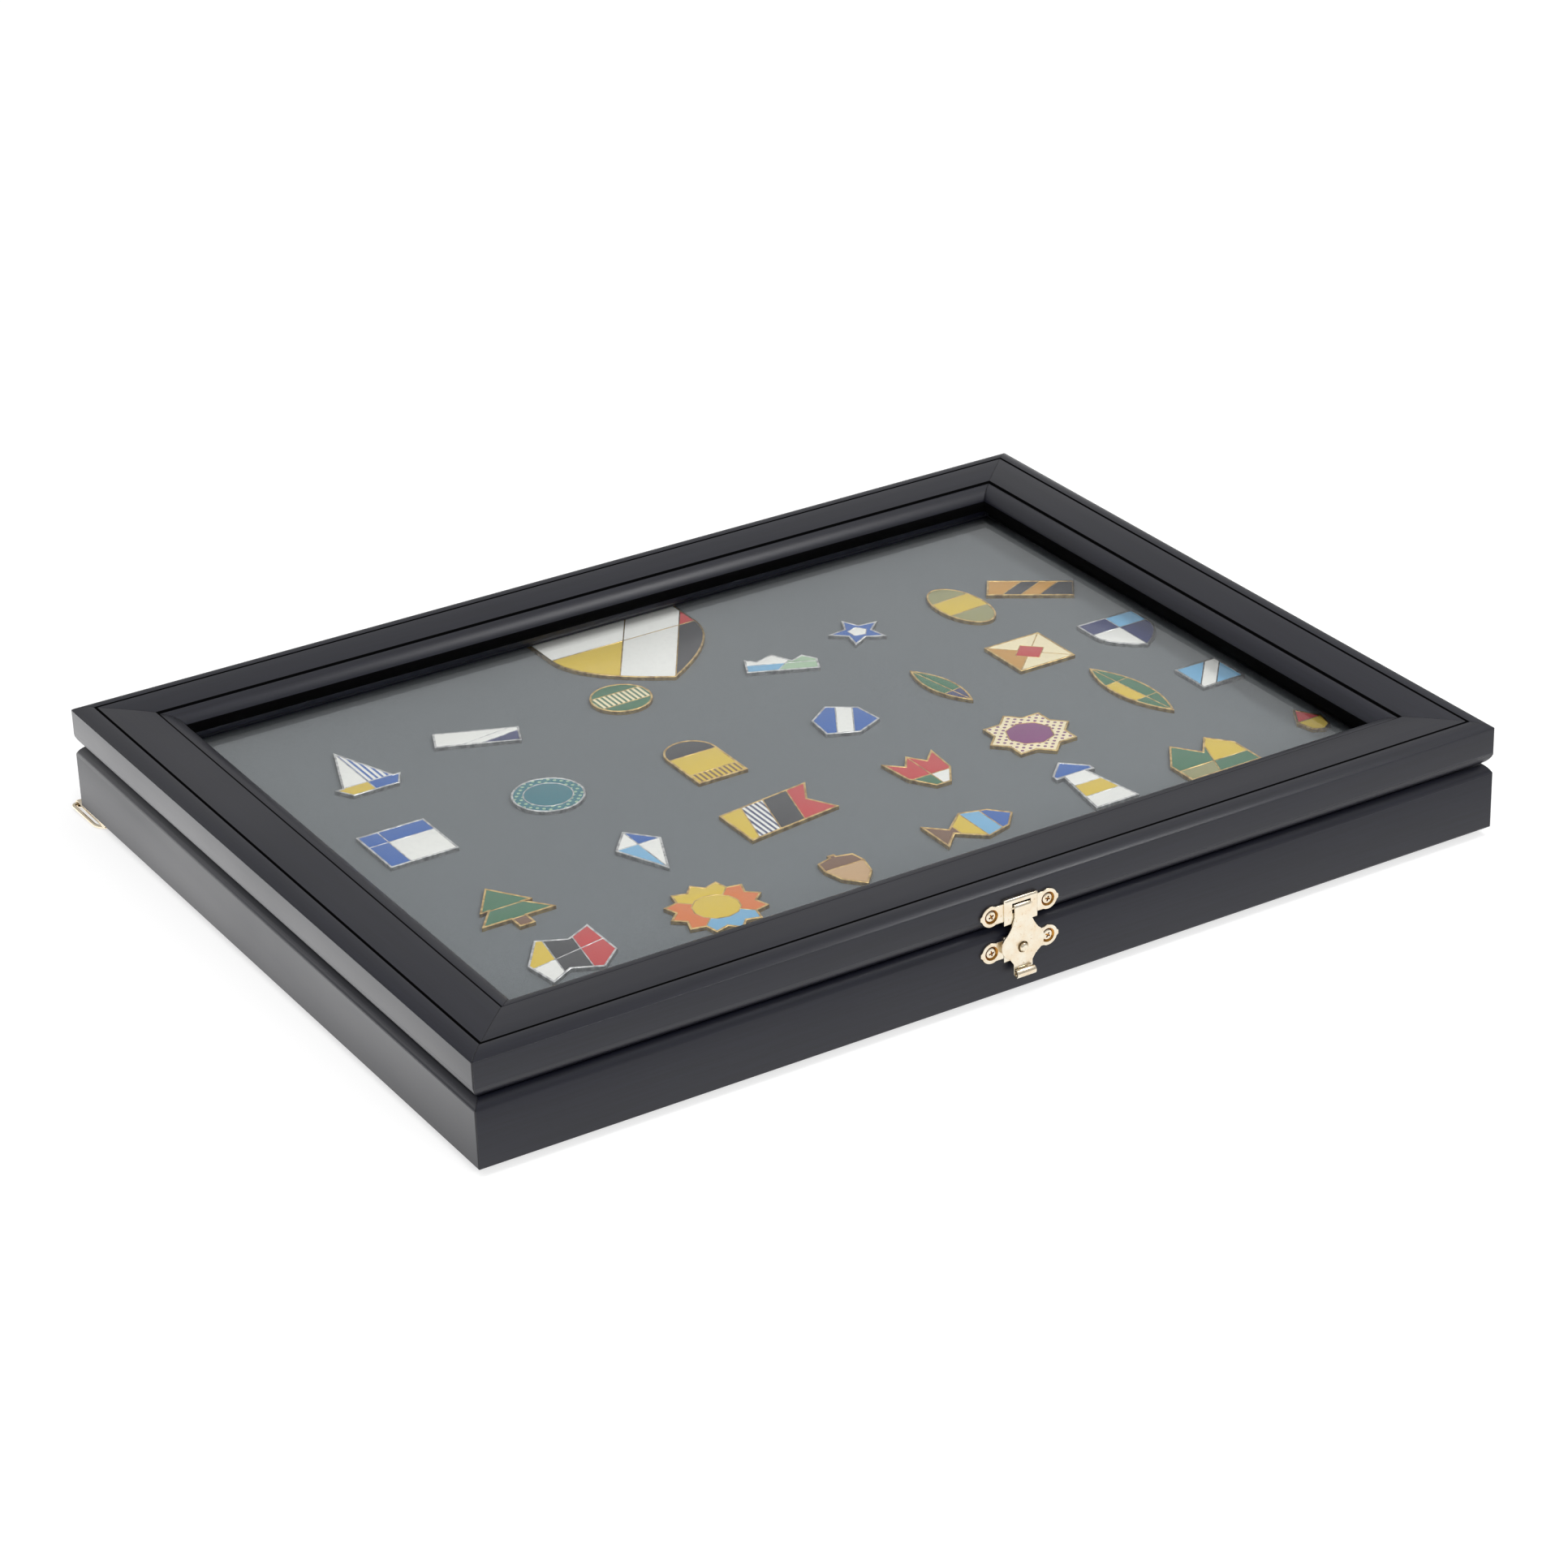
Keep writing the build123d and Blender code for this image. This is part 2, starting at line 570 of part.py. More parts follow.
bar_bend = bend(RING_BAR_HALF - BAR_BEND, -BAR_BEND, BAR_BEND, 90, 0)
ring_side = bar_bend + bend(RING_END_HALF - RING_BEND, RING_BEND - RING_LENGTH, RING_BEND, 0, -90)
for side, x in HANGERS.items():
    # A strip folded round the ring's bar, its two layers screwed up under the side wall.
    with BuildPart() as hanger_strap:
        with BuildSketch(Plane(origin=(x, 0, 0), x_dir=(0, 1, 0), z_dir=(1, 0, 0))):
            slit = UNDERSIDE - STRAP_T - STRAP_SLIT
            flat_y = LOOP_Y - LOOP_FLAT
            ramp_y = flat_y - LOOP_RAMP
            with BuildLine():
                Line((STRAP_FRONT_Y, UNDERSIDE), (LOOP_Y, UNDERSIDE))
                CenterArc((LOOP_Y, LOOP_Z), LOOP_R, 90, -180)
                Polyline(
                    (LOOP_Y, LOOP_Z - LOOP_R),
                    (flat_y, LOOP_Z - LOOP_R),
                    (ramp_y, STRAP_LOW),
                    (STRAP_FRONT_Y, STRAP_LOW),
                    (STRAP_FRONT_Y, slit),
                    (ramp_y, slit),
                    (flat_y, LOOP_Z - LOOP_INNER_R),
                    (LOOP_Y, LOOP_Z - LOOP_INNER_R),
                )
                CenterArc((LOOP_Y, LOOP_Z), LOOP_INNER_R, -90, 180)
                Polyline(
                    (LOOP_Y, LOOP_Z + LOOP_INNER_R),
                    (STRAP_FRONT_Y, UNDERSIDE - STRAP_T),
                    (STRAP_FRONT_Y, UNDERSIDE),
                )
            make_face()
        extrude(amount=STRAP_W / 2, both=True)
        with BuildSketch(Plane(origin=(x, HANGER_SCREW_Y, STRAP_LOW))):
            RegularPolygon(SHANK_R + RUNNING, SCREW_SIDES)
        extrude(amount=UNDERSIDE - STRAP_LOW, mode=Mode.SUBTRACT)
    hanger_strap.part.label = f"hanger_strap_{side}"
    export_step(hanger_strap.part, f"parts/hanger_strap_{side}.step")

    # The wire ring turns in the strap's loop and lies folded forwards under the case.
    loop = Plane(origin=(x, LOOP_Y, LOOP_Z), x_dir=(1, 0, 0), z_dir=(0, -sin(RING_DROOP), cos(RING_DROOP)))
    with BuildPart() as hanger_ring:
        with BuildLine(loop) as ring_path:
            Polyline((WIRE_R, 0), *ring_side, *mirrored(ring_side), (WIRE_R - RUNNING, 0))
        with BuildSketch(Plane(origin=(x + WIRE_R, LOOP_Y, LOOP_Z), z_dir=(1, 0, 0))):
            RegularPolygon(WIRE_R, WIRE_SIDES)
        sweep(path=ring_path.wires()[0], transition=Transition.RIGHT)
    hanger_ring.part.label = f"hanger_ring_{side}"
    export_step(hanger_ring.part, f"parts/hanger_ring_{side}.step")

hanger_seats = [Plane(origin=(x, HANGER_SCREW_Y, STRAP_LOW), z_dir=(0, 0, -1)) for x in HANGERS.values()]
screws("hanger_screws", hanger_seats, HANGER_HEAD_R, HANGER_HEAD_T, HANGER_HEAD_BEVEL)

bumper_x = HALF_L - BUMPER_INSET
bumper_taper = degrees(atan((BUMPER_R - BUMPER_TIP_R) / BUMPER_H))
with BuildPart() as bumpers:
    with BuildSketch(Plane.XY.offset(UNDERSIDE)):
        with Locations(*((x, y) for x in (-bumper_x, bumper_x) for y in BUMPER_YS)):
            RegularPolygon(BUMPER_R, BUMPER_SIDES)
    extrude(amount=-BUMPER_H, taper=bumper_taper)
bumpers.part.label = "bumpers"
export_step(bumpers.part, "parts/bumpers.step")


# ---------------------------------------------------------------- enamel pins
def pointed(*corners):
    """A straight-sided outline."""
    with BuildSketch() as shape:
        Polygon(*corners, align=None)
    return shape.sketch


def oval(width, height):
    """A round or elliptical outline."""
    turns = [2 * pi * step / ROUND_STEPS for step in range(ROUND_STEPS)]
    return pointed(*[(width / 2 * cos(turn), height / 2 * sin(turn)) for turn in turns])


def tile(width, height):
    """A rectangular outline."""
    with BuildSketch() as shape:
        Rectangle(width, height)
    return shape.sketch


def arch(width, height):
    """A rectangle with a round head."""
    radius = width / 2
    spring = height / 2 - radius
    turns = [pi * step / HALF_STEPS for step in range(HALF_STEPS + 1)]
    head = [(radius * cos(turn), spring + radius * sin(turn)) for turn in turns]
    return pointed(*head, (-radius, -height / 2), (radius, -height / 2))


def leaf_shape(width, height):
    """A leaf: two bowed sides between its tips."""
    side = []
    for step in range(1, HALF_STEPS):
        along = 2 * step / HALF_STEPS - 1
        side.append((width / 2 * (1 - along**2), height / 2 * along))
    return pointed((0, -height / 2), *side, (0, height / 2), *mirrored(side))


def shield(width, height):
    """A shield: straight top, upright sides and two bowed ones that meet in a point."""
    half = width / 2
    top = height / 2
    waist = top - SHIELD_SIDE * height
    side = [(half, top)]
    for step in range(SHIELD_STEPS):
        drop = step / SHIELD_STEPS
        side.append((half * (1 - drop**2), waist - drop * (waist + top)))
    return pointed(*side, (0, -top), *mirrored(side))


def star(points, outer, inner):
    """A star or rosette with its first point straight up."""
    corners = []
    for step in range(2 * points):
        reach = inner if step % 2 else outer
        angle = radians(90 + 180 * step / points)
        corners.append((reach * cos(angle), reach * sin(angle)))
    return pointed(*corners)


@dataclass
class Pin:
    """An enamel pin: its outline, where its middle stands and how it is turned.

    Each wire is a straight raised line (x, y, angle) that parts the enamel cells; core is the
    radius and number of sides of a raised line round the middle, and posts are the places of the
    nails along the pin's width.
    """

    name: str
    x: float
    y: float
    turn: float
    outline: Sketch
    wires: tuple = ()
    core: tuple = ()
    posts: tuple = (0.0,)


SAIL = ((-9, -17), (9, -17), (13, -10), (10, -10), (0, 17), (-10, -10), (-13, -10))
HILLS = ((-13.5, -7), (13.5, -7), (13.5, 1), (8, 5), (4, 1), (-3, 7), (-9, 2), (-13.5, 4))
FIR_SIDE = ((3, -15), (3, -9), (14, -9), (7, 0), (10, 0))
FIR = pointed(*FIR_SIDE, (0, 15), *mirrored(FIR_SIDE))
KITE = ((0, -16), (9, 5), (0, 16), (-9, 5))
BANNER = ((-19, -14), (19, -9), (13, 2), (19, 13), (-19, 8))
TULIP = ((-3, -12.5), (3, -12.5), (9, -3), (10.5, 12), (4.5, 6), (0, 12.5), (-4.5, 6), (-10.5, 12), (-9, -3))
HARLEQUIN = ((-15, 0), (-5, 14), (5, 9), (15, 14), (15, -6), (6, -14), (-4, -9), (-13, -14))
ACORN_SIDE = ((6, -5), (8, 3), (7, 9), (1.5, 10.5), (1.5, 12))
ACORN = pointed((0, -12), *ACORN_SIDE, *mirrored(ACORN_SIDE))
FISH = ((-16, 9), (-9, 2), (0, 10), (10, 7), (16, 0), (10, -7), (0, -10), (-9, -2), (-16, -9))
TOWER = ((-9, -18), (9, -18), (5, 7), (8, 7), (8, 10), (0, 18), (-8, 10), (-8, 7), (-5, 7))
RANGE = ((-15, -13), (15, -13), (15, 3), (8, 12), (1, 3), (-6, 13), (-15, 0))
SHIELD_BANDS = ((0, 6, 0), (-4, 0, 58), (20, 0, 58))
DROP = ((0, 9.5), (5.5, 0), (4, -7), (0, -9.5), (-4, -7), (-5.5, 0))

PINS = (
    Pin("pin_sailboat", -127, 74, 0, pointed(*SAIL), ((0, 0, 90), (0, -10, 0))),
    Pin("pin_wave_bar", -79, 73, -23, tile(31, 11), ((3, 0, 30), (10, 0, 30))),
    Pin("pin_banded_disc", -21, 71, 0, oval(23, 23), ((0, -4.5, 0), (0, 4.5, 0))),
    Pin("pin_hills", 42, 63, -25, pointed(*HILLS), ((0, -1, 0), (2, 0, 60))),
    Pin("pin_star", 79, 69, 0, star(5, 11.5, 5.5), (), (4, 5)),
    Pin("pin_oval", 123, 66, 4, oval(19, 35), ((0, -5, 0), (0, 7, 0))),
    Pin("pin_chevron_bar", 153, 64, -35, tile(33, 13), ((-7, 0, 60), (0, 0, 60), (7, 0, 60))),
    Pin("pin_quarters", -137, 15, 0, tile(26, 26), ((-5, 0, 90), (0, 4, 0))),
    Pin("pin_teal_disc", -80, 19, 0, oval(26, 26), (), (9, 24)),
    Pin("pin_lantern", -23, 12, 0, arch(20, 32), ((0, 5, 0), (0, -9, 0))),
    Pin("pin_hexagon", 35, 9.5, 0, star(3, 13, 11.5), ((-3, 0, 60), (4, 0, 60))),
    Pin("pin_feather", 79, 13, 9, leaf_shape(10, 34), ((0, 0, 90), (0, -6, 0))),
    Pin("pin_lozenge", 121, 18, 0, tile(24, 24), ((0, 0, 45), (0, 0, -45)), (6.5, 4)),
    Pin("pin_small_shield", 160, 12, 0, shield(25, 28), ((0, 4, 0), (0, 0, 90))),
    Pin("pin_fir_tree", -131, -44, 0, FIR, ((0, 0, 0), (0, -9, 0))),
    Pin("pin_kite", -73, -36, 0, pointed(*KITE), ((0, 0, 90), (0, 5, 0))),
    Pin("pin_banner", -21, -37, 0, pointed(*BANNER), ((-12, 0, 75), (-3, 0, 75), (7, 0, 75))),
    Pin("pin_tulip", 37, -40, 0, pointed(*TULIP), ((0, -4, 0), (0, 0, 90))),
    Pin("pin_rosette", 83, -37.5, 0, star(8, 17, 13), (), (9, 8)),
    Pin("pin_long_leaf", 133, -29, 6, leaf_shape(13, 46), ((0, 0, 90), (0, 8, 0), (0, -8, 0))),
    Pin("pin_slanted_tile", 164, -34, 0, tile(18, 18), ((-3, 0, 50), (4, 0, 50))),
    Pin("pin_harlequin", -130, -84, 0, pointed(*HARLEQUIN), ((-5, 0, 80), (5, 0, 80), (0, 0, 10))),
    Pin("pin_sun", -74, -84, 0, star(12, 17.5, 14), ((0, 0, 45), (0, 0, -45)), (8.5, 12)),
    Pin("pin_acorn", -24, -87, 0, ACORN, ((0, 3, 0),)),
    Pin("pin_fish", 28, -84, 0, pointed(*FISH), ((-7, 0, 90), (0, 0, 90), (7, 0, 90))),
    Pin("pin_lighthouse", 78, -80, 0, pointed(*TOWER), ((0, 8, 0), (0, 0, 0), (0, -9, 0))),
    Pin("pin_two_peaks", 123, -87, 0, pointed(*RANGE), ((0, -5, 0), (2, 0, 70))),
    Pin("pin_drop", 170, -85, 0, pointed(*DROP), ((0, 0, 0),)),
    Pin("pin_great_shield", 4, 106.5, 0, shield(62, 64), SHIELD_BANDS, (), (-15, 15)),
)

for pin in PINS:
    across = (cos(radians(pin.turn)), sin(radians(pin.turn)), 0)
    face = Plane(origin=(pin.x, pin.y, FELT_Z + PIN_T), x_dir=across, z_dir=(0, 0, 1))
    with BuildPart() as badge:
        with BuildSketch(face):
            add(pin.outline)
        extrude(amount=-PIN_T)
        with BuildSketch(face):
            add(pin.outline)
            offset(amount=-PIN_RIM, kind=Kind.INTERSECTION)
            for wire_x, wire_y, angle in pin.wires:
                with Locations((wire_x, wire_y)):
                    Rectangle(REACH, CLOISON, rotation=angle, mode=Mode.SUBTRACT)
            if pin.core:
                core_r, core_sides = pin.core
                RegularPolygon(core_r, core_sides, mode=Mode.SUBTRACT)
                RegularPolygon(core_r - CLOISON, core_sides)
        extrude(amount=-CELL_DEPTH, mode=Mode.SUBTRACT)
        with BuildSketch(Plane(origin=(pin.x, pin.y, FELT_Z), x_dir=across, z_dir=(0, 0, -1))):
            with Locations(*[(post_x, 0) for post_x in pin.posts]):
                RegularPolygon(POST_R, POST_SIDES)
        extrude(amount=POST_LENGTH)
        chamfer(badge.faces().group_by(Axis.Z)[0].edges(), length=POST_POINT)
    badge.part.label = pin.name
    export_step(badge.part, f"parts/{pin.name}.step")
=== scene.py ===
"""Looks of an enamel pin display case, built round its packed CAD frame.

A black lacquered case with a hinged glass lid, a brass latch, two wall hangers and a grey felt
board full of enamel pins. Lengths are in metres in the frame's own axes: X runs along the case,
-Y is the latch side and +Z is up.
"""

import json
import logging
from collections.abc import Callable, Iterator
from contextlib import contextmanager
from dataclasses import dataclass
from enum import Enum
from itertools import cycle
from math import cos, radians, sin
from typing import ClassVar

import bpy
from mathutils import Color, Matrix, Vector

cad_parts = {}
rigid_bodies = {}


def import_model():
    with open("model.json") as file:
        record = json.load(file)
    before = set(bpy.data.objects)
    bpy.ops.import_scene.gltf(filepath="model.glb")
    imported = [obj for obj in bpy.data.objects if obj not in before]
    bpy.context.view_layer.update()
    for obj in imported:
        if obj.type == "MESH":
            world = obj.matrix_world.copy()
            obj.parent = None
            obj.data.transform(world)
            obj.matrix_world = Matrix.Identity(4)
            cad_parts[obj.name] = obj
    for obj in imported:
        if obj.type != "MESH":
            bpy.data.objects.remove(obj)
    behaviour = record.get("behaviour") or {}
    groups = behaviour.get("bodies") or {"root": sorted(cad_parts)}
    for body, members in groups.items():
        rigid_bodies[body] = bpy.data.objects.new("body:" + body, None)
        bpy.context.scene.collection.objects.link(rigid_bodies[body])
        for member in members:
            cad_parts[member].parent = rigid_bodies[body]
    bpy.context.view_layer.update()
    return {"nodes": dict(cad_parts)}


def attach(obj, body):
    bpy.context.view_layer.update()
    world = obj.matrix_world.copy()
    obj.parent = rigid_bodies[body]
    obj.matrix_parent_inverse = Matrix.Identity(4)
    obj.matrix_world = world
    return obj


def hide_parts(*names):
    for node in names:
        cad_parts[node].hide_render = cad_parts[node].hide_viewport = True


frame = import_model()

MM = 0.001
HALF_LENGTH = 200 * MM
HALF_WIDTH = 150 * MM
LID_SEAT = 28.5 * MM
MERGE = 0.001 * MM  # points nearer than this are one
SAME_PLANE = radians(0.4)  # faces that turn less than this are one flat
SHARP = radians(35)  # edges that turn more than this are rounded
LEVEL = 0.99  # the share of Z in the normal of a level face

log = logging.getLogger("pin_case")

Colour = tuple[float, float, float, float]
Point = tuple[float, float, float]
Piece = bpy.types.Object
Face = bpy.types.MeshPolygon
FaceTest = Callable[[Face], bool]


def paint(red: int, green: int, blue: int) -> Colour:
    """Turn a paint-chart colour into a linear one.

    Args:
        red: Red from 0 to 255.
        green: Green from 0 to 255.
        blue: Blue from 0 to 255.

    Returns:
        The linear colour, opaque.
    """
    linear = Color((red / 255, green / 255, blue / 255)).from_srgb_to_scene_linear()
    return (*linear, 1.0)


def faces_up(face: Face) -> bool:
    """Tell whether a face lies level and points up."""
    return face.normal.z > LEVEL


def faces_down(face: Face) -> bool:
    """Tell whether a face lies level and points down."""
    return face.normal.z < -LEVEL


# ---------------------------------------------------------------- shader graphs
class Wire:
    """One output of a shader graph, which sums like a number."""

    def __init__(self, graph: "Graph", socket: bpy.types.NodeSocket) -> None:
        """Hold a socket and the graph that it is in."""
        self.graph = graph
        self.socket = socket

    def worked(self, operation: str, first: "Wire | float", second: "Wire | float" = 0.0) -> "Wire":
        """Put two values through a Math node.

        Args:
            operation: The Math node's operation.
            first: The upper value.
            second: The lower value.

        Returns:
            The result.
        """
        return self.graph.node("ShaderNodeMath", {"operation": operation}, {0: first, 1: second})

    def __add__(self, other: "Wire | float") -> "Wire":
        """Add a value."""
        return self.worked("ADD", self, other)

    def __radd__(self, other: float) -> "Wire":
        """Add to a number."""
        return self.worked("ADD", other, self)

    def __sub__(self, other: "Wire | float") -> "Wire":
        """Take a value away."""
        return self.worked("SUBTRACT", self, other)

    def __rsub__(self, other: float) -> "Wire":
        """Take this away from a number."""
        return self.worked("SUBTRACT", other, self)

    def __mul__(self, other: "Wire | float") -> "Wire":
        """Multiply by a value."""
        return self.worked("MULTIPLY", self, other)

    def __rmul__(self, other: float) -> "Wire":
        """Multiply a number."""
        return self.worked("MULTIPLY", other, self)

    def __truediv__(self, other: "Wire | float") -> "Wire":
        """Divide by a value."""
        return self.worked("DIVIDE", self, other)

    def __pow__(self, other: float) -> "Wire":
        """Raise to a power."""
        return self.worked("POWER", self, other)

    def size(self) -> "Wire":
        """The value without its sign."""
        return self.worked("ABSOLUTE", self)

    def larger(self, other: "Wire") -> "Wire":
        """The larger of two values."""
        return self.worked("MAXIMUM", self, other)

    def smaller(self, other: "Wire") -> "Wire":
        """The smaller of two values."""
        return self.worked("MINIMUM", self, other)

    def part(self) -> "Wire":
        """What is left above the whole number below."""
        return self.worked("FRACT", self)

    def wave(self) -> "Wire":
        """The sine of the value."""
        return self.worked("SINE", self)

    def rise(self, low: float, high: float) -> "Wire":
        """Grow smoothly from 0 to 1 as the value goes from low to high.

        Args:
            low: The value that gives 0.
            high: The value that gives 1, which may be the smaller one.

        Returns:
            The mask.
        """
        if low > high:
            return 1 - self.rise(high, low)
        settings = {"interpolation_type": "SMOOTHSTEP"}
        limits = {"Value": self, "From Min": low, "From Max": high, "To Min": 0.0, "To Max": 1.0}
        return self.graph.node("ShaderNodeMapRange", settings, limits)


class Graph:
    """The shader nodes of one material or world."""

    def __init__(self, owner: bpy.types.Material | bpy.types.World) -> None:
        """Empty the owner's nodes and add its output.

        Args:
            owner: The material or world to give nodes to.
        """
        owner.use_nodes = True
        self.tree = owner.node_tree
        self.tree.nodes.clear()
        kind = "World" if isinstance(owner, bpy.types.World) else "Material"
        self.output = self.tree.nodes.new(f"ShaderNodeOutput{kind}")

    def node(
        self, kind: str, settings: dict | None = None, inputs: dict | None = None, output: int | str = 0
    ) -> Wire:
        """Add any node.

        Args:
            kind: The node's type.
            settings: Its own settings by name, set first.
            inputs: Values or wires for its sockets, by name or number.
            output: The output that is wanted.

        Returns:
            That output.
        """
        made = self.tree.nodes.new(kind)
        for name, value in (settings or {}).items():
            setattr(made, name, value)
        for name, value in (inputs or {}).items():
            self.feed(made.inputs[name], value)
        return Wire(self, made.outputs[output])

    def feed(self, socket: bpy.types.NodeSocket, value: Wire | float | tuple) -> None:
        """Link a wire to a socket, or set the socket's own value.

        Args:
            socket: An input of a node.
            value: The wire or the value for it.
        """
        if isinstance(value, Wire):
            self.tree.links.new(value.socket, socket)
        else:
            socket.default_value = value

    def place(self) -> Wire:
        """The point of the surface, in metres."""
        return self.node("ShaderNodeTexCoord", output="Object")

    def axes(self) -> tuple[Wire, Wire, Wire]:
        """Part the point of the surface.

        Returns:
            Its X, Y and Z.
        """
        parts = self.node("ShaderNodeSeparateXYZ", inputs={0: self.place()})
        outputs = parts.socket.node.outputs
        return (Wire(self, outputs[0]), Wire(self, outputs[1]), Wire(self, outputs[2]))

    def noise(self, scale: float, detail: float = 3.0, stretch: Point = (1.0, 1.0, 1.0)) -> Wire:
        """Soft noise round 0.5.

        Args:
            scale: Waves in a metre.
            detail: How many finer waves are added.
            stretch: Scale of each axis before that.

        Returns:
            The noise.
        """
        where = self.node("ShaderNodeMapping", inputs={"Vector": self.place(), "Scale": stretch})
        return self.node("ShaderNodeTexNoise", inputs={"Vector": where, "Scale": scale, "Detail": detail})

    def mixed(self, share: Wire | float, first: Wire | Colour, second: Wire | Colour) -> Wire:
        """Mix two colours.

        Args:
            share: How much of the second there is.
            first: The colour at 0.
            second: The colour at 1.

        Returns:
            The mixed colour.
        """
        return self.node("ShaderNodeMix", {"data_type": "RGBA"}, {0: share, 6: first, 7: second}, 2)

    def principled(self, inputs: dict) -> Wire:
        """A Principled shader with these inputs."""
        return self.node("ShaderNodeBsdfPrincipled", inputs=inputs)

    def ray(self, kind: str) -> Wire:
        """A mask of the rays of one kind."""
        return self.node("ShaderNodeLightPath", output=f"Is {kind} Ray")

    def level(self, value: Wire) -> Wire:
        """A neutral colour of that brightness."""
        return self.node("ShaderNodeCombineColor", inputs={0: value, 1: value, 2: value})

    def bump(self, height: Wire, distance: float, strength: float = 1.0, under: Wire | None = None) -> Wire:
        """Turn a height into a normal.

        Args:
            height: The height, from 0 to 1.
            distance: How deep 1 is, in metres.
            strength: Share of it that shows.
            under: A normal to lay it over.

        Returns:
            The normal.
        """
        inputs = {"Height": height, "Distance": distance, "Strength": strength}
        if under is not None:
            inputs["Normal"] = under
        return self.node("ShaderNodeBump", inputs=inputs)


# ---------------------------------------------------------------- finishes
class Grain(Enum):
    """The way that the grain of a rail runs."""

    ALONG_X = (4.0, 130.0, 130.0)
    ALONG_Y = (130.0, 4.0, 130.0)


class Metal(Enum):
    """Plating of the pins, as its light and its dull colour."""

    GILT = (paint(206, 176, 114), paint(152, 120, 68))
    SILVER = (paint(200, 200, 199), paint(142, 142, 144))


class Tone(Enum):
    """Brass where it is rubbed bright and where polish never reaches, as light, warm and stained colours."""

    BRIGHT = (paint(232, 224, 206), paint(229, 213, 187), paint(200, 160, 104))
    # Painted shade: darker brass for the cross slots of the screws and the dished seats round them.
    DEEP = (paint(186, 134, 62), paint(140, 94, 36), paint(72, 44, 16))


class Tint(Enum):
    """Enamel colours."""

    WHITE = paint(232, 231, 226)
    CREAM = paint(236, 222, 184)
    BLACK = paint(30, 31, 36)
    NAVY = paint(34, 44, 92)
    BLUE = paint(20, 84, 160)
    SKY = paint(112, 168, 204)
    TEAL = paint(34, 104, 116)
    GREEN = paint(40, 98, 66)
    SAGE = paint(156, 184, 152)
    OLIVE = paint(140, 138, 92)
    YELLOW = paint(208, 178, 50)
    AMBER = paint(188, 136, 50)
    ORANGE = paint(206, 108, 42)
    RED = paint(182, 42, 44)
    BROWN = paint(104, 70, 46)
    TAN = paint(188, 152, 110)
    PURPLE = paint(116, 46, 104)


class Pattern(Enum):
    """How an enamel cell is filled, as the pitch of what repeats and its turn in degrees."""

    PLAIN = None
    STRIPES = (2.0 * MM, 0.0)
    DOTS = (2.4 * MM, 45.0)
    WAVES = (2.4 * MM, 90.0)


@dataclass(frozen=True)
class Finish:
    """A finish, whose material is made once."""

    made: ClassVar[dict["Finish", bpy.types.Material]] = {}

    @property
    def name(self) -> str:
        """The material's name."""
        return type(self).__name__.lower()

    def dress(self, graph: Graph) -> Wire:
        """Build the shader. Every finish has its own.

        Args:
            graph: The material's empty nodes.

        Returns:
            The shader that goes to the surface.
        """
        raise NotImplementedError

    def material(self) -> bpy.types.Material:
        """The finish's material.

        Returns:
            The material, made at the first call.
        """
        if self not in Finish.made:
            material = bpy.data.materials.new(self.name)
            graph = Graph(material)
            graph.feed(graph.output.inputs["Surface"], self.dress(graph))
            Finish.made[self] = material
        return Finish.made[self]


@dataclass(frozen=True)
class Lacquer(Finish):
    """Semi-gloss black lacquer: faint grain, orange-peel skin, fine mitre lines and black in the quirks."""

    grain: Grain = Grain.ALONG_X
    mitre_at: float = HALF_LENGTH - HALF_WIDTH
    mitre_line: float = 0.12 * MM
    quirks_in: tuple[float, float] = (6.75 * MM, 23.2 * MM)
    quirk_half: float = 0.45 * MM
    quirk_end: float = 0.63 * MM
    sight_in: float = 30.3 * MM
    lid_top_z: float = 41 * MM
    fade: float = 0.1 * MM

    def dress(self, graph: Graph) -> Wire:
        """Build the lacquer's shader."""
        x, y, z = graph.axes()
        off_mitre = (x.size() - y.size() - self.mitre_at).size()
        line = off_mitre.rise(2 * self.mitre_line, self.mitre_line)
        across = y if self.grain is Grain.ALONG_X else x
        depth_in = (HALF_WIDTH if self.grain is Grain.ALONG_X else HALF_LENGTH) - across.size()
        outer, inner = ((depth_in - quirk).size() for quirk in self.quirks_in)
        in_quirk = outer.smaller(inner).rise(self.quirk_end, self.quirk_half)
        on_top = z.rise(self.lid_top_z - MM, self.lid_top_z)
        past_sight = depth_in.rise(self.sight_in, self.sight_in + self.fade)
        in_lid = z.rise(LID_SEAT, LID_SEAT + self.fade)
        grain = graph.noise(9, 5, self.grain.value)
        cloud = graph.noise(14, 2)
        skin = graph.noise(900, 2)
        specks = graph.noise(2600, 1).rise(0.74, 0.82)
        tone = graph.mixed(grain.rise(0.25, 0.75), paint(12, 13, 23), paint(19, 20, 31))
        dusty = graph.mixed(specks * 0.3, tone, paint(60, 62, 64))
        seamed = graph.mixed(line * 0.7, dusty, paint(4, 4, 5))
        relief = graph.bump(skin * 0.5 + grain * 0.8, 0.02 * MM, 0.6)
        gloss = graph.principled({
            "Base Color": seamed,
            "Roughness": 0.3 + cloud * 0.14 + grain * 0.06,
            "Normal": graph.bump(1 - line, 0.08 * MM, 0.8, relief),
        })
        # Painted shade: a near-black, matt shader that stands in for the shade in the quirks and below the
        # sight edge.
        black_shade_paint = graph.principled({
            "Base Color": graph.mixed(skin, paint(2, 2, 2), paint(6, 6, 7)),
            "Roughness": 0.9,
            "Specular IOR Level": 0.05,
        })
        # Where the painted shade goes: the quirks on the lid's top, and the lid inside its sight edge.
        shaded_places = (in_quirk * on_top + past_sight) * in_lid
        return graph.node("ShaderNodeMixShader", inputs={0: shaded_places, 1: gloss, 2: black_shade_paint})


